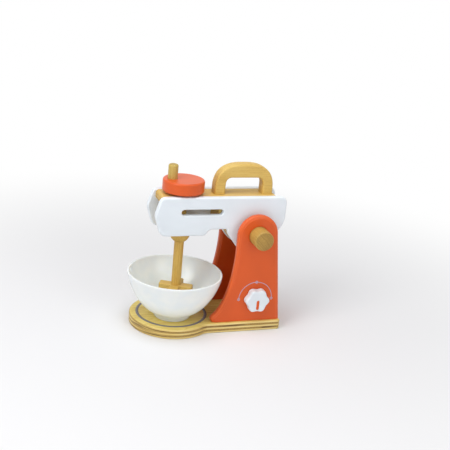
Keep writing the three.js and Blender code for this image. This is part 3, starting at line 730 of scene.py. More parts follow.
# %% [markdown]
# Every mesh is finished in the same way. Its doubles are merged, its faces are turned outwards,
# and booleans take its bores out. A Weighted Normal modifier keeps flat faces flat and rims
# round. All of it is baked into a plain mesh, which shows and exports the same everywhere.

# %% From mesh to finished piece
WELD = 1e-6         # points nearer than this become one, in metres
SHARP_EDGE = math.radians(40)


def bake(piece):
    """Turns the piece with its modifiers into a plain mesh of the same name."""
    graph = bpy.context.evaluated_depsgraph_get()
    mesh = bpy.data.meshes.new_from_object(piece.evaluated_get(graph), depsgraph=graph)
    old = piece.data
    piece.modifiers.clear()
    piece.data = mesh
    bpy.data.meshes.remove(old)
    mesh.name = piece.name
    return piece


def cut_with(piece, cutter):
    cut = piece.modifiers.new("bore", "BOOLEAN")
    cut.object = cutter
    cut.solver = "EXACT"


def smooth(piece):
    piece.data.shade_smooth()
    piece.data.set_sharp_from_angle(angle=SHARP_EDGE)
    even = piece.modifiers.new("even_shading", "WEIGHTED_NORMAL")
    even.keep_sharp = True
    return bake(piece)


def piece_from(bm, name, finish, cuts=()):
    """Makes the object, cuts the bores out of it, smooths it and bakes it."""
    bmesh.ops.remove_doubles(bm, verts=bm.verts, dist=WELD)
    bmesh.ops.recalc_face_normals(bm, faces=bm.faces)
    piece = object_from(bm, name, finish)
    for cutter in cuts:
        cut_with(piece, cutter)
    if cuts:
        bake(piece)
    return smooth(piece)


print("edges stay sharp from", round(math.degrees(SHARP_EDGE)), "degrees")

# %% [markdown]
# A board is a rim for its outline and one for each hole, with both flat faces filled between the
# innermost rings. Boards either lie flat or stand upright, seen from the side. A board that
# stands on another one is rounded first and then sawn off level, as its maker does it, so its
# outline runs on a little below that cut.

# %% Boards
SPARE = 6.0         # how far an outline runs on below the saw cut, in mm
FLAT_ANGLE = 0.01   # faces that meet at less than this become one
HOLE_LEAST = 24     # steps round the smallest hole


def flat(x, y, height):
    return Vector((BEATER_X + x, y, height)) * MM


def upright(x, z, depth):
    return flat(x, depth, z)


def circle(x, y, radius):
    count = max(HOLE_LEAST, round(2 * math.pi * radius / FINE))
    return arc(x, y, radius, 0, 2 * math.pi, count)[:-1]


def saw_level(bm, height):
    """Takes off all below this height and closes the cut."""
    everything = bm.verts[:] + bm.edges[:] + bm.faces[:]
    cut = bmesh.ops.bisect_plane(bm, geom=everything, plane_co=(0, 0, height * MM),
                                 plane_no=(0, 0, -1), clear_outer=True)
    open_edges = [e for e in cut["geom_cut"] if isinstance(e, bmesh.types.BMEdge)]
    bmesh.ops.edgeloop_fill(bm, edges=open_edges)


def board(name, finish, loop, span, rounds, place=upright, holes=(), cuts=(), sits_at=None,
          shoulder=0.0):
    """span: the board's two flat faces. rounds: the rim's radius at each. holes: pairs of an
    outline and its rim's radius. sits_at: where the rounded board is sawn off level. Its
    outline runs on for SPARE below that."""
    bm = bmesh.new()
    bm.verts.layers.float.new("edge")
    rims = [(loop, 1, rim_profile(span, rounds, shoulder))]
    rims += [(hole, -1, rim_profile(span, (soft, soft))) for hole, soft in holes]
    first, last = [], []
    for points, turn, steps in rims:
        if signed_area(points) * turn < 0:
            points = points[::-1]
        one, two = add_rim(bm, points, steps, place)
        first += one
        last += two
    for cap in (first, last):
        filled = bmesh.ops.triangle_fill(bm, edges=cap, use_beauty=True)["geom"]
        inner = [e for e in filled if isinstance(e, bmesh.types.BMEdge)]
        bmesh.ops.dissolve_limit(bm, angle_limit=FLAT_ANGLE, verts=[], edges=inner)
    if sits_at is not None:
        saw_level(bm, sits_at)
    return piece_from(bm, name, finish, cuts)


print("boards that stand on another are sawn off", SPARE, "mm above their outline's end")

# %% [markdown]
# Round pieces come from a lathe: a profile of radius and height, turned about its axis. The Spin
# tool would do it, but rings placed by a formula stay evenly spaced and close on the axis in one
# point. Rods and rings are so common here that each has a helper of its own.

# %% Turned pieces
AROUND, ON_AXIS = 96, 1e-6
LIE_DOWN = Matrix.Rotation(-math.pi / 2, 4, "X")


def turned_mesh(profile, centre, lying=False, around=AROUND):
    """profile: (radius, height). centre: where its axis and its height start."""
    bm = bmesh.new()
    stand = Matrix.Translation(flat(*centre)) @ (LIE_DOWN if lying else Matrix.Identity(4))
    rings = []
    for radius, height in profile:
        count = 1 if radius < ON_AXIS else around
        angles = [2 * math.pi * i / around for i in range(count)]
        ring = [Vector((radius * math.cos(a), radius * math.sin(a), height)) * MM for a in angles]
        rings.append([bm.verts.new(stand @ point) for point in ring])
    for one, two in zip(rings, rings[1:]):
        for i in range(around):
            pairs = [(one, i - 1), (one, i), (two, i), (two, i - 1)]
            corners = list(dict.fromkeys(ring[k % len(ring)] for ring, k in pairs))
            if len(corners) > 2:
                bm.faces.new(corners)
    return bm


def rod(name, finish, radius, span, rounds, centre, lying=False, cuts=()):
    (low, high), (first, last) = span, rounds
    corners = [(0, low, 0), (radius, low, first), (radius, high, last), (0, high, 0)]
    profile = rounded(corners, closed=False)
    return piece_from(turned_mesh(profile, centre, lying), name, finish, cuts)


def ring(name, finish, radii, span, rounds, centre, lying=False):
    (inner, outer), (low, high), (bore, rim) = radii, span, rounds
    profile = rounded([(inner, low, bore), (outer, low, rim),
                       (outer, high, rim), (inner, high, bore)])
    return piece_from(turned_mesh([*profile, profile[0]], centre, lying), name, finish)


print("a turned piece has", AROUND, "faces around")

# %% [markdown]
# A bore is a cylinder that a boolean takes out of the body, as a drill does. Parts that slide
# into one another need a little play, and a drill always runs on a little past the wood. Once a
# piece is finished, two facts tie it to the imported model: the body that it rides on and the
# plain pieces that it stands for.

# %% Drilling and settling
GAP, OVERCUT = 0.3, 1
drills = []


def drill(radius, span, centre, lying=False):
    low, high = span
    bm = turned_mesh([(0, low), (radius, low), (radius, high), (0, high)], centre, lying)
    bmesh.ops.recalc_face_normals(bm, faces=bm.faces)
    drills.append(object_from(bm, "drill"))
    return drills[-1]


def settle(piece, body, slot, *nodes):
    """The piece rides on its body and stands for its CAD nodes. The slot is not used."""
    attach(piece, body)
    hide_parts(*nodes)
    while drills:
        bpy.data.objects.remove(drills.pop())
    print(piece.name, "rides on", body, "with", len(piece.data.polygons), "faces")


print("play in a bore:", GAP, "mm")

# %% [markdown]
# The base is one piece of plywood: a round front under the bowl that runs into a straight
# board under the stand. One large arc, a tangent arc on each side for the soft neck and two
# small corners give its outline. The top rim is rounded over more than the bottom one. The
# screw holes are bored from below, wide enough for the heads, as the real ones are countersunk.

# %% Base board
DISC_X, DISC_RADIUS, NECK = -4.0, 62.0, 18.0
BASE_HALF, BASE_CORNER, BASE_ROUNDS = 49.0, 5.0, (1.2, 2.2)
SCREW_HEAD, SCREW_BORE_DEPTH = 4.0, 3.0


def base_outline():
    side = BASE_HALF + NECK
    neck_x = DISC_X + math.sqrt((DISC_RADIUS + NECK) ** 2 - side ** 2)
    meet = math.degrees(math.atan2(side, neck_x - DISC_X))
    inset = base_box.right - BASE_CORNER
    return outline(
        ("line", neck_x, -BASE_HALF), ("line", inset, -BASE_HALF),
        ("arc", (inset, -BASE_HALF + BASE_CORNER), BASE_CORNER, -90, 0),
        ("arc", (inset, BASE_HALF - BASE_CORNER), BASE_CORNER, 0, 90),
        ("line", neck_x, BASE_HALF),
        ("arc", (neck_x, side), NECK, -90, meet - 180),
        ("arc", (DISC_X, 0), DISC_RADIUS, meet, 360 - meet),
        ("arc", (neck_x, -side), NECK, 180 - meet, 90),
    )


base_screws = [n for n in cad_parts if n.startswith(("stand_screw", "back_board_screw"))]
screw_bores = []
for name in base_screws:
    screw = box_mm(name)
    screw_bores.append(drill(SCREW_HEAD + GAP, (-OVERCUT, SCREW_BORE_DEPTH), (screw.x, screw.y, 0)))
base = board("base_board_plywood", birch_plywood, base_outline(), (0, base_thickness),
             BASE_ROUNDS, place=flat, cuts=screw_bores)
settle(base, "stand", "birch_plywood", "base_board")

# %% [markdown]
# The two stand panels are sawn from board about 11 mm thick. Their rims are rounded over with
# the router's small shoulder, their feet are sawn level to stand on the base, and the edges of
# their bores are only broken. Then they are sprayed orange-red. The outline is a half circle
# round the pivot dowel that runs down to a wide foot: straight behind, and in front one long
# flaring curve that ends in a small toe. The near one also has the bore for the knob's axle.

# %% Stand panels
pivot, stand_box, knob_box = map(box_mm, ("pivot_dowel", "stand_panel_near", "speed_knob"))
STAND_ROUND, STAND_SHOULDER, BORE_ROUND = 3.6, 0.7, 0.5
TOP_RADIUS, REAR_LEAN, FRONT_STRAIGHT = 30.3, 6.9, 20
FLARE_HEIGHT, FLARE_PULL = 85, (64, 38)
TOE_X, TOE_FLAT, TOE_RADIUS, TOE_START, TOE_END, HEEL_X = 43.5, 6.7, 5.2, 127.5, 215, 151.5
KNOB_X, KNOB_Z, AXLE_RADIUS = 109.0, 50.3, 4.0
pivot_hole = (circle(pivot.x, pivot.z, pivot.radius + GAP), BORE_ROUND)
axle_hole = (circle(KNOB_X, KNOB_Z, AXLE_RADIUS + GAP), BORE_ROUND)


def stand_outline():
    toe = (TOE_X + TOE_RADIUS, stand_box.bottom + TOE_RADIUS)
    tip = arc(*toe, TOE_RADIUS, math.radians(TOE_START), 0, 1)[0]
    front = pivot.x - TOP_RADIUS
    sole = stand_box.bottom - SPARE
    return outline(
        ("line", TOE_X + TOE_FLAT, sole), ("line", HEEL_X, sole),
        ("arc", (pivot.x, pivot.z), TOP_RADIUS, REAR_LEAN, 180),
        ("line", front, pivot.z - FRONT_STRAIGHT),
        ("curve", (front, FLARE_HEIGHT), FLARE_PULL, tip),
        ("arc", toe, TOE_RADIUS, TOE_START, TOE_END),
    )


PANEL_HOLES = {"stand_panel_near": [pivot_hole, axle_hole], "stand_panel_far": [pivot_hole]}
for name, holes in PANEL_HOLES.items():
    box = box_mm(name)
    panel = board(f"{name}_lacquered", orange_red, stand_outline(), (box.near, box.far),
                  (STAND_ROUND, STAND_ROUND), holes=holes, sits_at=stand_box.bottom,
                  shoulder=STAND_SHOULDER)
    settle(panel, "stand", "red_lacquer", name)

# %% [markdown]
# Behind the head a plain board joins the stand panels. It is lacquered like them, and only its
# top edge is rounded, because the others are glued against the panels and the base. It is drawn
# as most of the small boards are: a box with a corner radius for each of its four corners.

# %% Back board
BACK_ROUND, BACK_EDGE = 2.5, 0.5
back_box = box_mm("stand_back_board")


def box_outline(box, low_left, low_right, high_right, high_left):
    return rounded([(box.left, box.bottom, low_left), (box.right, box.bottom, low_right),
                    (box.right, box.top, high_right), (box.left, box.top, high_left)])


back_board = board("stand_back_board_lacquered", orange_red,
                   box_outline(back_box, 0, 0, BACK_ROUND, BACK_ROUND),
                   (back_box.near, back_box.far), (BACK_EDGE, BACK_EDGE))
settle(back_board, "stand", "red_lacquer", "stand_back_board")

# %% [markdown]
# The head's two white panels are the most shaped boards of the toy. From the nose the outline
# runs down to the lower edge, back along it to a step and round the pivot dowel, behind that
# down to the heel that rests against the back board, up the rear and forward along the top. The
# long slot and the dowel's bore go right through. The slot's rim is lightly rounded, because a
# finger can reach it, and the bore's is only broken.

# %% Head panels
HEAD_TOP, HEAD_BOTTOM, HEAD_STEP, NOSE_X, HEAD_REAR = 200.3, 143.3, 152.5, -45.5, 150.0
LOBE, LOBE_START, HEEL_DROP = 34.0, 215.6, 10
HEAD_ROUND, SLOT_ROUND = 2.4, 0.9
SLOT_X, SLOT_Z, SLOT_HALF = (-8.0, 54.0), 178.3, 4.5


def head_outline():
    lobe_start = arc(pivot.x, pivot.z, LOBE, math.radians(LOBE_START), 0, 1)[0]
    heel_x, heel_z = back_box.left - GAP, pivot.z - LOBE - HEEL_DROP
    nose = [
        ("line", -30, HEAD_TOP), ("curve", (-38, HEAD_TOP), (-39.6, HEAD_TOP - 7)),
        ("line", NOSE_X + 1.8, 180), ("curve", (NOSE_X - 0.6, 173.5), (NOSE_X + 2, 167)),
        ("line", -38.5, HEAD_BOTTOM + 8), ("curve", (-35, HEAD_BOTTOM), (-27, HEAD_BOTTOM)),
    ]
    step = [
        ("line", 25.5, HEAD_BOTTOM), ("curve", (30.5, HEAD_BOTTOM), (32.5, HEAD_BOTTOM + 4.6)),
        ("curve", (35.5, HEAD_STEP), (42, HEAD_STEP)), ("line", 60.5, HEAD_STEP),
        ("curve", (62.3, HEAD_STEP), (62.5, HEAD_STEP - 2)),
        ("curve", (63.2, 145.5), (66.3, 141.4)),
    ]
    lobe_and_heel = [
        ("line", *lobe_start), ("arc", (pivot.x, pivot.z), LOBE, LOBE_START, 270),
        ("curve", (pivot.x + 7, heel_z), (pivot.x + 13, heel_z)),
        ("line", heel_x - 4, heel_z), ("curve", (heel_x, heel_z), (heel_x, heel_z + 4)),
        ("line", heel_x, 129), ("curve", (heel_x, 134), (heel_x + 4, 138)),
    ]
    rear = [
        ("line", HEAD_REAR - 10, 147.6), ("curve", (HEAD_REAR, 157.5), (HEAD_REAR, 171.5)),
        ("line", HEAD_REAR, HEAD_TOP - 11),
        ("curve", (HEAD_REAR, HEAD_TOP), (HEAD_REAR - 11, HEAD_TOP)),
    ]
    return outline(*nose, *step, *lobe_and_heel, *rear)


slot_ends = [(x + inwards, SLOT_Z) for x, inwards in zip(SLOT_X, (SLOT_HALF, -SLOT_HALF))]
slot_outline = outline(("arc", slot_ends[1], SLOT_HALF, -90, 90),
                       ("arc", slot_ends[0], SLOT_HALF, 90, 270))
for name in ("head_panel_near", "head_panel_far"):
    box = box_mm(name)
    panel = board(f"{name}_lacquered", soft_white, head_outline(), (box.near, box.far),
                  (HEAD_ROUND, HEAD_ROUND), holes=[(slot_outline, SLOT_ROUND), pivot_hole])
    settle(panel, "head", "white_lacquer", name)

# %% [markdown]
# Between the panels sit three beech pieces: the top plank with its rounded nose, the lower block
# that guides the shaft, and the core that holds the pivot dowel. Only the plank's top and nose
# show clearly, but the others can be seen from below and through the slots. They are boards
# again, with their edges just broken, and bored for the shaft or the dowel.

# %% Plank, bearing block and core
BROKEN_EDGE = (0.4, 0.4)
NOSE_ROUND, REAR_ROUND, BLOCK_ROUND, NOTCH_Z, NOTCH_DEPTH = 5, 1, 1.5, 154, 14
shaft_box, plank_box, block_box, core_box = map(
    box_mm, ("beater_shaft", "top_plank", "bearing_block", "head_core"))
bore_radius = shaft_box.radius + GAP
across = (plank_box.near, plank_box.far)
plank_corners = (NOSE_ROUND, REAR_ROUND, REAR_ROUND, NOSE_ROUND)
for name, box, corners in (("top_plank", plank_box, plank_corners),
                           ("bearing_block", block_box, (BLOCK_ROUND,) * 4)):
    bore = drill(bore_radius, (box.bottom - OVERCUT, box.top + OVERCUT), (0, 0, 0))
    between = board(f"{name}_beech", beech_along, box_outline(box, *corners), across,
                    BROKEN_EDGE, cuts=[bore])
    settle(between, "head", "beech", name)

core_outline = rounded([
    (core_box.left, core_box.top, 1), (core_box.left, NOTCH_Z, 1.5),
    (core_box.left + NOTCH_DEPTH, NOTCH_Z, 1.5), (67.5, 143, 3), (79, 127.5, 6),
    (92, core_box.bottom, 6), (118, core_box.bottom, 4), (123.5, 130, 4),
    (core_box.right, 152, 5), (core_box.right, core_box.top, 1),
])
core = board("head_core_beech", beech_along, core_outline, across, BROKEN_EDGE, holes=[pivot_hole])
settle(core, "head", "beech", "head_core")

# %% [markdown]
# The carrying handle is an arch sawn from an 18 mm beech board with the grain along its length.
# It is rounded over generously, so it feels soft in a child's hand, and then its two feet are
# sawn level where they stand on the plank, so there the rounding ends in a clean flat cut.

# %% Carrying handle
handle_box = box_mm("carry_handle")
LEG, GRIP_Z, GRIP_CORNER, HANDLE_ROUND = 16.5, 223.2, 10, 3.2
ARCH_LENGTH, ARCH_DROP = 40, 36


def handle_outline():
    left, right_end, top = handle_box.left, handle_box.right, handle_box.top
    inner_left, inner_right = left + LEG, right_end - LEG
    sole = handle_box.bottom - SPARE
    return outline(
        ("line", left, sole), ("line", inner_left, sole),
        ("line", inner_left, GRIP_Z - GRIP_CORNER),
        ("curve", (inner_left, GRIP_Z), (inner_left + GRIP_CORNER, GRIP_Z)),
        ("line", inner_right - GRIP_CORNER, GRIP_Z),
        ("curve", (inner_right, GRIP_Z), (inner_right, GRIP_Z - GRIP_CORNER)),
        ("line", inner_right, sole), ("line", right_end, sole),
        ("line", right_end, top - ARCH_DROP),
        ("curve", (right_end, top), (right_end - ARCH_LENGTH, top)),
        ("line", left + ARCH_LENGTH, top),
        ("curve", (left, top), (left, top - ARCH_DROP)),
    )


handle = board("carry_handle_beech", beech_along, handle_outline(),
               (handle_box.near, handle_box.far), (HANDLE_ROUND, HANDLE_ROUND),
               sits_at=handle_box.bottom)
settle(handle, "head", "beech", "carry_handle")

# %% [markdown]
# The pivot dowel is a 28 mm beech rod through both stand panels and the head. Its ends are sawn
# across the grain, lightly rounded, and show the fine parallel ring lines. Two loose rings of the
# same wood keep the head in the middle of the stand.

# %% Pivot dowel and spacers
DOWEL_ROUND, SPACER_ROUND = 1.8, 0.6
half_length = (pivot.far - pivot.near) / 2
pivot_centre = (pivot.x, 0, pivot.z)
dowel = rod("pivot_dowel_beech", beech_across, pivot.radius, (-half_length, half_length),
            (DOWEL_ROUND, DOWEL_ROUND), pivot_centre, lying=True)
settle(dowel, "head", "beech", "pivot_dowel")

for name in ("pivot_spacer_near", "pivot_spacer_far"):
    box = box_mm(name)
    spacer = ring(f"{name}_beech", beech_across, (pivot.radius + GAP, box.radius),
                  (box.near, box.far), (0, SPACER_ROUND), pivot_centre, lying=True)
    settle(spacer, "head", "beech", name)

# %% [markdown]
# The beater is turned by its crank: a thick red disc, its top edge rounded for small hands, with
# a natural peg off its middle. The peg is glued into a bore of the disc, and its upper end is
# rounded most. A felt washer lets the disc glide on the plank.

# %% Crank disc, peg and washer
DISC_BORE_EDGE, DISC_LOW_ROUND, DISC_TOP_ROUND = 0.4, 2.2, 2.8
PEG_ROUNDS, WASHER_ROUNDS = (0.5, 2.6), (0.3, 0.8)
BEATER_AXIS = (0, 0, 0)
crank, peg_box, washer_box = map(box_mm, ("crank_disc", "crank_peg", "felt_washer"))
peg_axis = (peg_box.x, peg_box.y, 0)
bore_end = shaft_box.top + GAP
peg_bore = drill(peg_box.radius + GAP, (peg_box.bottom - GAP, crank.top + OVERCUT), peg_axis)
disc_profile = rounded([
    (0, bore_end, 0), (bore_radius, bore_end, 0), (bore_radius, crank.bottom, DISC_BORE_EDGE),
    (crank.radius, crank.bottom, DISC_LOW_ROUND), (crank.radius, crank.top, DISC_TOP_ROUND),
    (0, crank.top, 0),
], closed=False)
disc = piece_from(turned_mesh(disc_profile, BEATER_AXIS), "crank_disc_lacquered", orange_red,
                  cuts=[peg_bore])
settle(disc, "beater", "red_lacquer", "crank_disc")

peg = rod("crank_peg_beech", beech_peg, peg_box.radius, (peg_box.bottom, peg_box.top), PEG_ROUNDS,
          peg_axis)
settle(peg, "beater", "beech", "crank_peg")

washer = ring("felt_washer_wool", wool_felt, (bore_radius, washer_box.radius),
              (washer_box.bottom, washer_box.top), WASHER_ROUNDS, BEATER_AXIS)
settle(washer, "head", "grey_felt", "felt_washer")

# %% [markdown]
# Below the head a collar holds the shaft up. It is turned as most of a ball, with a flat top
# that runs against the bearing block. The shaft ends in a paddle: a cross of two bars sawn from
# one flat piece, which stands a little turned, as in the picture.

# %% Shaft, collar and paddle
SHAFT_ROUND = 0.6
BALL_Z, BALL_STEPS, COLLAR_ROUND, COLLAR_CUT = 139.8, 16, 0.9, 0.25
PADDLE_REACH, PADDLE_HALF, PADDLE_TURN = 24.5, 7.0, math.radians(62.5)
ARM_CREASE, ARM_CORNER, PADDLE_ROUND = 1.5, 2, 1.2
collar_box, paddle_box = map(box_mm, ("shaft_collar", "beater_paddle"))
shaft = rod("beater_shaft_beech", beech_upright, shaft_box.radius,
            (shaft_box.bottom, shaft_box.top), (SHAFT_ROUND, SHAFT_ROUND), BEATER_AXIS)
settle(shaft, "beater", "beech", "beater_shaft")

widest, collar_top = collar_box.radius, collar_box.top
ball_start = math.asin(bore_radius / widest) - math.pi / 2
ball = arc(0, BALL_Z, widest, ball_start, 0, BALL_STEPS)
profile = [*ball, (widest, collar_top - COLLAR_ROUND),
           (widest - COLLAR_CUT, collar_top - COLLAR_CUT),
           (widest - COLLAR_ROUND, collar_top), (bore_radius, collar_top), ball[0]]
collar = piece_from(turned_mesh(profile, BEATER_AXIS), "shaft_collar_beech", beech_upright)
settle(collar, "beater", "beech", "shaft_collar")


def paddle_outline():
    arm = ((PADDLE_HALF, -PADDLE_HALF, ARM_CREASE), (PADDLE_REACH, -PADDLE_HALF, ARM_CORNER),
           (PADDLE_REACH, PADDLE_HALF, ARM_CORNER))
    corners = []
    for quarter in range(4):
        turn = Matrix.Rotation(quarter * math.pi / 2 + PADDLE_TURN, 2)
        for x, y, setback in arm:
            spot = Vector((x, y))
            spot.rotate(turn)
            corners.append((*spot, setback))
    return rounded(corners)


bore = drill(bore_radius, (shaft_box.bottom - GAP, paddle_box.top + OVERCUT), BEATER_AXIS)
paddle = board("beater_paddle_beech", beech_along, paddle_outline(),
               (paddle_box.bottom, paddle_box.top), (PADDLE_ROUND, PADDLE_ROUND), place=flat,
               cuts=[bore])
settle(paddle, "beater", "beech", "beater_paddle")

# %% [markdown]
# The bowl stands loose on the base. Its foot ring, its wall and its thin rim are one profile:
# the wall swells quickly from the foot and then rises steeply to the rim, which a power curve
# gives with one number for its roundness. Both sides of the wall use the same curve, so the wall
# gets thinner towards the rim as a moulded bowl's does.

# %% Bowl
bowl_box = box_mm("bowl")
bowl_height = bowl_box.top - bowl_box.bottom
FOOT_RADIUS, FOOT_HEIGHT, FOOT_RIM, FOOT_HOLLOW = 27.0, 8.8, 4.0, 1.8
WALL_START, SHOULDER_RADIUS = FOOT_HEIGHT + 0.6, 31.5
RIM_WIDTH, RIM_HEIGHT, FLOOR_HEIGHT, FLOOR_INNER = 2.8, 1.0, 10.5, 22.0
ROUNDNESS = 1.5     # 1 would be a cone, 2 a quarter of an ellipse
CROWDING = 1.7      # above 1, the steps crowd near the foot, where the wall turns most
WALL_STEPS, RIM_STEPS, BOWL_AROUND = 40, 8, 144


def wall_curve(inner, outer, low, high):
    points = []
    for i in range(WALL_STEPS + 1):
        rise = (i / WALL_STEPS) ** CROWDING
        swell = (1 - (1 - rise) ** ROUNDNESS) ** (1 / ROUNDNESS)
        points.append((inner + (outer - inner) * swell, low + (high - low) * rise))
    return points


def bowl_profile():
    lip = bowl_height - RIM_HEIGHT
    inner_foot = FOOT_RADIUS - FOOT_RIM
    foot = rounded([
        (0, FOOT_HOLLOW, 0), (inner_foot - 1, FOOT_HOLLOW, 0.8), (inner_foot, 0, 0.8),
        (FOOT_RADIUS, 0, 0.9), (FOOT_RADIUS, FOOT_HEIGHT, 1.4), (SHOULDER_RADIUS, WALL_START, 0),
    ], closed=False)
    outside = wall_curve(SHOULDER_RADIUS, bowl_box.radius, WALL_START, lip)
    inside = wall_curve(FLOOR_INNER, bowl_box.radius - RIM_WIDTH, FLOOR_HEIGHT, lip)
    half_rim = RIM_WIDTH / 2
    turns = [math.pi * k / RIM_STEPS for k in range(1, RIM_STEPS)]
    rim = [(bowl_box.radius - half_rim + half_rim * math.cos(t), lip + RIM_HEIGHT * math.sin(t))
           for t in turns]
    return [*foot[:-1], *outside, *rim, *inside[::-1], (0, FLOOR_HEIGHT)]


bowl_bm = turned_mesh(bowl_profile(), (bowl_box.x, bowl_box.y, bowl_box.bottom), around=BOWL_AROUND)
bowl = piece_from(bowl_bm, "bowl_melamine", white_melamine)
settle(bowl, "bowl", "white_bowl", "bowl")

# %% [markdown]
# What follows a rule or repeats suits Geometry Nodes: here the knob, two printed lines and the
# screws. Three helpers serve all their trees. One opens a tree with its named inputs, one closes
# it, and one bakes what it makes into a plain mesh, because an exported file can't hold
# instances.

# %% Helpers for geometry trees
def new_tree(name, **inputs):
    """inputs: the labels of each kind of input, such as Float=("Radius", "Width")."""
    tree = bpy.data.node_groups.new(name, "GeometryNodeTree")
    for kind, labels in inputs.items():
        for label in labels:
            tree.interface.new_socket(label, in_out="INPUT", socket_type=f"NodeSocket{kind}")
    tree.interface.new_socket("Geometry", in_out="OUTPUT", socket_type="NodeSocketGeometry")
    return tree, tree.nodes.new("NodeGroupInput").outputs


def close_tree(tree, geometry, finish):
    """Makes copies real, sets the material and leads the result out."""
    real = node(tree, "GeometryNodeRealizeInstances", {"Geometry": geometry})
    done = node(tree, "GeometryNodeSetMaterial", {"Geometry": real, "Material": finish})
    node(tree, "NodeGroupOutput", {0: done})
    return tree


def grown_piece(name, tree, values, place=Matrix.Identity(4), points=()):
    """Bakes what the tree makes of some loose points, or of none, and puts it in its place. A
    modifier's inputs are stored under each socket's identifier, not its name."""
    seeds = bmesh.new()
    for point in points:
        seeds.verts.new(point)
    made = object_from(seeds, name)
    grow = made.modifiers.new("grow", "NODES")
    grow.node_group = tree
    for item in tree.interface.items_tree:
        if item.in_out == "INPUT" and item.name in values:
            grow[item.identifier] = values[item.name]
    bake(made)
    made.data.transform(place)
    return made


print("geometry trees so far:", len(bpy.data.node_groups))

# %% [markdown]
# The knob is a circle whose radius swells and shrinks six times on the way round. Its tree moves
# the points of a circle in or out by a cosine of their angle, fills the outline, thickens it
# and turns it to face the front. Its sizes are named inputs.

# %% A geometry tree for the lobed knob
KNOB_POINTS = 216


def knob_tree():
    tree, given = new_tree("lobed_knob", Float=("Radius", "Lobe Height", "Thickness"),
                           Int=("Lobes",), Material=("Finish",))
    ring_line = node(tree, "GeometryNodeCurvePrimitiveCircle", {
        "Resolution": KNOB_POINTS, "Radius": given["Radius"]})
    spot = node(tree, "GeometryNodeInputPosition")
    part = node(tree, "ShaderNodeSeparateXYZ", {0: spot}).node.outputs
    angle = node(tree, "ShaderNodeMath", {0: part["Y"], 1: part["X"]}, operation="ARCTAN2")
    turns = node(tree, "ShaderNodeMath", {0: angle, 1: given["Lobes"]}, operation="MULTIPLY")
    wave = node(tree, "ShaderNodeMath", {0: turns}, operation="COSINE")
    swell = node(tree, "ShaderNodeMath", {0: wave, 1: given["Lobe Height"]}, operation="MULTIPLY")
    outwards = node(tree, "ShaderNodeVectorMath", {0: spot}, operation="NORMALIZE")
    shift = node(tree, "ShaderNodeVectorMath", {0: outwards, "Scale": swell}, operation="SCALE")
    lobed = node(tree, "GeometryNodeSetPosition", {"Geometry": ring_line, "Offset": shift})
    face = node(tree, "GeometryNodeFillCurve", {"Curve": lobed}, mode="NGONS")
    grown = node(tree, "GeometryNodeExtrudeMesh", {
        "Mesh": face, "Offset Scale": given["Thickness"], "Individual": False})
    under = node(tree, "GeometryNodeFlipFaces", {"Mesh": face})
    joined = node(tree, "GeometryNodeJoinGeometry", {"Geometry": [grown, under]})
    closed = node(tree, "GeometryNodeMergeByDistance", {"Geometry": joined, "Distance": WELD})
    facing = node(tree, "GeometryNodeTransform", {
        "Geometry": closed, "Rotation": (math.pi / 2, 0, 0)})
    return close_tree(tree, facing, given["Finish"])


lobed_knob = knob_tree()
print("the knob's tree has", len(lobed_knob.nodes), "nodes")

# %% [markdown]
# The grown knob still has hard rims and no pocket. A Bevel modifier rounds the rims, and a
# boolean sinks the pocket, which is an outline of two half circles joined by straight sides. The
# pointer is a red inlay of the same outline, a little smaller, with only its front edge rounded.

# %% Knob and pointer
KNOB_SIZES = {"Radius": 16.9 * MM, "Lobe Height": 1.3 * MM, "Lobes": 6,
              "Thickness": (knob_box.far - knob_box.near) * MM, "Finish": soft_white}
KNOB_ROUND, BEVEL_STEPS, BEVEL_FROM = 2.6, 6, math.radians(50)
POINTER_WIDTH, POINTER_INNER, POINTER_OUTER = 4.4, 2.0, -13.0
POCKET_DEPTH, POCKET_EDGE, POINTER_ROUNDS = 1.4, (0.01, 0.01), (0.4, 0.1)
knob = grown_piece("speed_knob_lacquered", lobed_knob, KNOB_SIZES,
                   Matrix.Translation(flat(KNOB_X, knob_box.far, KNOB_Z)))


def pointer_outline(width):
    inner = (KNOB_X, KNOB_Z + POINTER_INNER - POINTER_WIDTH / 2)
    outer = (KNOB_X, KNOB_Z + POINTER_OUTER + POINTER_WIDTH / 2)
    return outline(("arc", inner, width / 2, 0, 180), ("arc", outer, width / 2, 180, 360))


pocket = board("pocket", soft_white, pointer_outline(POINTER_WIDTH),
               (knob_box.near - 2 * OVERCUT, knob_box.near + POCKET_DEPTH), POCKET_EDGE)
rim = knob.modifiers.new("rounded_rim", "BEVEL")
rim.width = KNOB_ROUND * MM
rim.segments = BEVEL_STEPS
rim.limit_method = "ANGLE"
rim.angle_limit = BEVEL_FROM
rim.use_clamp_overlap = False
cut_with(knob, pocket)
smooth(bake(knob))
bpy.data.objects.remove(pocket)
settle(knob, "knob", "white_lacquer", "speed_knob")

pointer_box = box_mm("knob_pointer")
pointer = board("knob_pointer_lacquered", orange_red, pointer_outline(POINTER_WIDTH - GAP),
                (pointer_box.near, pointer_box.far), POINTER_ROUNDS)
settle(pointer, "knob", "red_lacquer", "knob_pointer")

# %% [markdown]
# Two lines are printed on the toy: a grey-lilac ring on the base round the bowl's place, and a
# thin arc with three small rings beside the knob. A printed line lies on the surface as a film
# of ink, so both are made as very thin bands. They follow a path, which Geometry Nodes do well:
# a curve with a flat section swept along it, and small rings set on evenly spaced points.

# %% A geometry tree for printed lines
LINE_POINTS, MARK_POINTS = 180, 32
MARK_SCALE = (1.0, 1.0, 1.3)   # the marks' ink stands a little prouder and so covers the arc


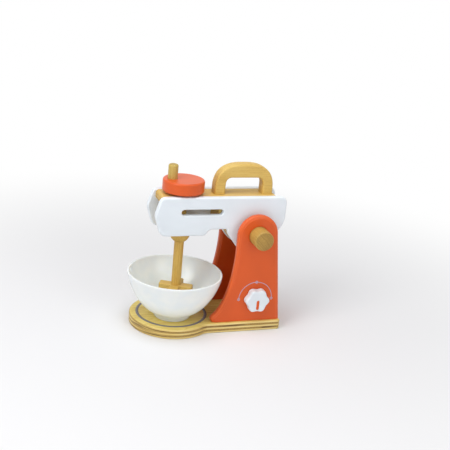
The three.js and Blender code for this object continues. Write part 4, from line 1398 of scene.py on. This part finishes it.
def line_tree():
    tree, given = new_tree(
        "printed_line", Float=("Radius", "Width", "Ink", "Start", "Sweep", "Mark Radius"),
        Bool=("Closed",), Int=("Marks",), Material=("Finish",))
    section = node(tree, "GeometryNodeCurvePrimitiveQuadrilateral", {
        "Width": given["Width"], "Height": given["Ink"]})
    path = node(tree, "GeometryNodeCurveArc", {
        "Resolution": LINE_POINTS, "Radius": given["Radius"], "Start Angle": given["Start"],
        "Sweep Angle": given["Sweep"]})
    shut = node(tree, "GeometryNodeSetSplineCyclic", {"Geometry": path, "Cyclic": given["Closed"]})
    level = node(tree, "GeometryNodeSetCurveNormal", {"Curve": shut}, mode="Z_UP")
    band = node(tree, "GeometryNodeCurveToMesh", {
        "Curve": level, "Profile Curve": section, "Fill Caps": True})
    small = node(tree, "GeometryNodeCurvePrimitiveCircle", {
        "Resolution": MARK_POINTS, "Radius": given["Mark Radius"]})
    small_level = node(tree, "GeometryNodeSetCurveNormal", {"Curve": small}, mode="Z_UP")
    mark = node(tree, "GeometryNodeCurveToMesh", {"Curve": small_level, "Profile Curve": section})
    spots = node(tree, "GeometryNodeCurveToPoints", {"Curve": shut, "Count": given["Marks"]},
                 mode="COUNT")
    marks = node(tree, "GeometryNodeInstanceOnPoints", {
        "Points": spots, "Instance": mark, "Scale": MARK_SCALE})
    any_marks = node(tree, "FunctionNodeCompare", {2: given["Marks"], 3: 0}, data_type="INT",
                     operation="GREATER_THAN")
    chosen = node(tree, "GeometryNodeSwitch", {0: any_marks, 2: marks}, input_type="GEOMETRY")
    joined = node(tree, "GeometryNodeJoinGeometry", {"Geometry": [band, chosen]})
    return close_tree(tree, joined, given["Finish"])


printed_line = line_tree()
print("the printed line's tree has", len(printed_line.nodes), "nodes")

# %% [markdown]
# The base's ring is a full circle: its path stops one step short of its start and is then
# closed. The dial is an open arc with marks at both ends and at its top. It grows flat as the
# ring does, and is then stood up against the near panel. A band is centred on its path, so each
# path runs half the ink's thickness off the surface, and the ink lies just on it.

# %% Printed ring and dial
INK = 0.12
RING_OUTER, RING_WIDTH = 52.9, 4.2
FULL_TURN = 2 * math.pi * (LINE_POINTS - 1) / LINE_POINTS
DIAL_RADIUS, DIAL_WIDTH, DIAL_MARKS, MARK_RADIUS = 25.5, 0.9, 3, 1.7
DIAL_START, DIAL_SWEEP = math.radians(182.0), math.radians(-184.0)
STAND_UP = Matrix.Rotation(math.pi / 2, 4, "X")

base_ring = grown_piece("base_printed_ring", printed_line, {
    "Radius": (RING_OUTER - RING_WIDTH / 2) * MM, "Width": RING_WIDTH * MM, "Ink": INK * MM,
    "Start": 0.0, "Sweep": FULL_TURN, "Closed": True, "Marks": 0, "Mark Radius": MM,
    "Finish": ring_ink,
}, Matrix.Translation(flat(DISC_X, 0, base_thickness + INK / 2)))
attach(base_ring, "stand")

dial_place = Matrix.Translation(flat(KNOB_X, stand_box.near - INK / 2, KNOB_Z)) @ STAND_UP
dial = grown_piece("dial_printed_arc", printed_line, {
    "Radius": DIAL_RADIUS * MM, "Width": DIAL_WIDTH * MM, "Ink": INK * MM, "Start": DIAL_START,
    "Sweep": DIAL_SWEEP, "Closed": False, "Marks": DIAL_MARKS, "Mark Radius": MARK_RADIUS * MM,
    "Finish": dial_ink,
}, dial_place)
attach(dial, "stand")
print("printed ring:", len(base_ring.data.polygons), "faces; dial:", len(dial.data.polygons))

# %% [markdown]
# Behind the near panel a short axle and a glued cap hold the knob. They are turned beech, seen
# only from the open side of the stand. The dowel pins that join the boards are hidden in the
# wood, so they keep their own meshes from the frame and only get their finish.

# %% Knob axle and cap, dowel pins
AXLE_ROUND, CAP_ROUND = 0.4, 1.4
axle_box, cap_box = map(box_mm, ("knob_axle", "knob_cap"))
knob_axis = (KNOB_X, 0, KNOB_Z)
axle = rod("knob_axle_beech", beech_across, axle_box.radius, (axle_box.near, axle_box.far),
           (AXLE_ROUND, AXLE_ROUND), knob_axis, lying=True)
settle(axle, "knob", "beech", "knob_axle")
bore = drill(axle_box.radius + GAP, (cap_box.near - OVERCUT, axle_box.far + GAP), knob_axis,
             lying=True)
cap = rod("knob_cap_beech", beech_across, cap_box.radius, (cap_box.near, cap_box.far),
          (AXLE_ROUND, CAP_ROUND), knob_axis, lying=True, cuts=[bore])
settle(cap, "knob", "beech", "knob_cap")

pins = [piece for name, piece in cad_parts.items() if "_pin_" in name]
for pin in pins:
    pin.data.materials.clear()
    pin.data.materials.append(beech_across)
print("pins dressed:", len(pins))

# %% [markdown]
# Ten equal countersunk wood screws hold the stand and the handle. What repeats is made once, and
# Geometry Nodes set a copy on each place: the object that carries the tree is only a handful of
# loose points, one under each screw. The tree builds the screw from a cone for the head with a
# cross cut out of it, a shank, a pointed tip and a thread swept along a spiral.

# %% A geometry tree for wood screws
HEAD_SIDES, SHANK_SIDES, THREAD_STEPS, RIDGE_SIDES = 32, 24, 12, 4
CROSS_BARS = (("Cross Width", "Cross Thickness"), ("Cross Thickness", "Cross Width"))


def screw_head(tree, given):
    head = node(tree, "GeometryNodeMeshCone", {
        "Vertices": HEAD_SIDES, "Radius Top": given["Shank Radius"],
        "Radius Bottom": given["Head Radius"], "Depth": given["Head Height"]})
    for wide, narrow in CROSS_BARS:
        size = node(tree, "ShaderNodeCombineXYZ", {
            "X": given[wide], "Y": given[narrow], "Z": given["Head Height"]})
        bar = node(tree, "GeometryNodeMeshCube", {"Size": size})
        head = node(tree, "GeometryNodeMeshBoolean", {"Mesh 1": head, "Mesh 2": bar},
                    operation="DIFFERENCE", solver="MANIFOLD")
    return head


def lifted(tree, mesh, height):
    move = node(tree, "ShaderNodeCombineXYZ", {"Z": height})
    return node(tree, "GeometryNodeTransform", {"Geometry": mesh, "Translation": move})


def screw_thread(tree, given):
    spiral = node(tree, "GeometryNodeCurveSpiral", {
        "Resolution": THREAD_STEPS, "Rotations": given["Thread Turns"],
        "Start Radius": given["Shank Radius"], "End Radius": given["Shank Radius"],
        "Height": given["Thread Length"]})
    ridge = node(tree, "GeometryNodeCurvePrimitiveCircle", {
        "Resolution": RIDGE_SIDES, "Radius": given["Thread Depth"]})
    return node(tree, "GeometryNodeCurveToMesh", {
        "Curve": spiral, "Profile Curve": ridge, "Fill Caps": True})


def screw_tree():
    tree, given = new_tree("wood_screws", Geometry=("Places",), Float=(
        "Head Radius", "Head Height", "Shank Radius", "Shank Length", "Tip Length", "Cross Width",
        "Cross Thickness", "Thread Start", "Thread Length", "Thread Turns", "Thread Depth",
    ), Material=("Finish",))
    shank = node(tree, "GeometryNodeMeshCone", {
        "Vertices": SHANK_SIDES, "Radius Top": given["Shank Radius"],
        "Radius Bottom": given["Shank Radius"], "Depth": given["Shank Length"]})
    tip = node(tree, "GeometryNodeMeshCone", {
        "Vertices": SHANK_SIDES, "Radius Bottom": given["Shank Radius"], "Radius Top": 0.0,
        "Depth": given["Tip Length"]})
    tip_at = node(tree, "ShaderNodeMath", {0: given["Head Height"], 1: given["Shank Length"]})
    thread = screw_thread(tree, given)
    parts = [screw_head(tree, given), lifted(tree, shank, given["Head Height"]),
             lifted(tree, tip, tip_at), lifted(tree, thread, given["Thread Start"])]
    whole = node(tree, "GeometryNodeJoinGeometry", {"Geometry": parts})
    copies = node(tree, "GeometryNodeInstanceOnPoints", {
        "Points": given["Places"], "Instance": whole})
    return close_tree(tree, copies, given["Finish"])


wood_screws = screw_tree()
print("the screws' tree has", len(wood_screws.nodes), "nodes")

# %% [markdown]
# The screws are 4 by 30 mm with a flat head of 8 mm, as such toys have them. Six go up through
# the base into the stand panels, two into the back board, and two up through the plank into the
# handle. A finished piece belongs to one body, so the eight on the stand are one mesh and
# the two on the head are another.

# %% Screws in the base and in the handle
SCREW = {
    "Head Radius": SCREW_HEAD, "Head Height": 2.6, "Shank Radius": 1.8, "Shank Length": 24.4,
    "Tip Length": 3.0, "Cross Width": 4.4, "Cross Thickness": 0.9, "Thread Start": 8.0,
    "Thread Length": 18.5, "Thread Depth": 0.4,
}
THREAD_PITCH, SCREW_SHARP = 1.5, math.radians(35)


def screws(name, body, nodes):
    values = {label: size * MM for label, size in SCREW.items()}
    values |= {"Thread Turns": SCREW["Thread Length"] / THREAD_PITCH, "Finish": zinc_steel}
    places = [flat(box.x, box.y, box.bottom) for box in map(box_mm, nodes)]
    piece = grown_piece(name, wood_screws, values, points=places)
    piece.data.shade_smooth()
    piece.data.set_sharp_from_angle(angle=SCREW_SHARP)
    settle(piece, body, "zinc_steel", *nodes)
    return piece


screws("stand_screws_zinc", "stand", base_screws)
handle_nodes = [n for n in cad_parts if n.startswith("handle_screw")]
handle_screws = screws("handle_screws_zinc", "head", handle_nodes)
heights = [v.co.z / MM for v in handle_screws.data.vertices]
packed = box_mm(handle_nodes[0])
print("a screw from", round(min(heights), 2), "to", round(max(heights), 2), "mm; in the frame from",
      round(packed.bottom, 2), "to", round(packed.top, 2))
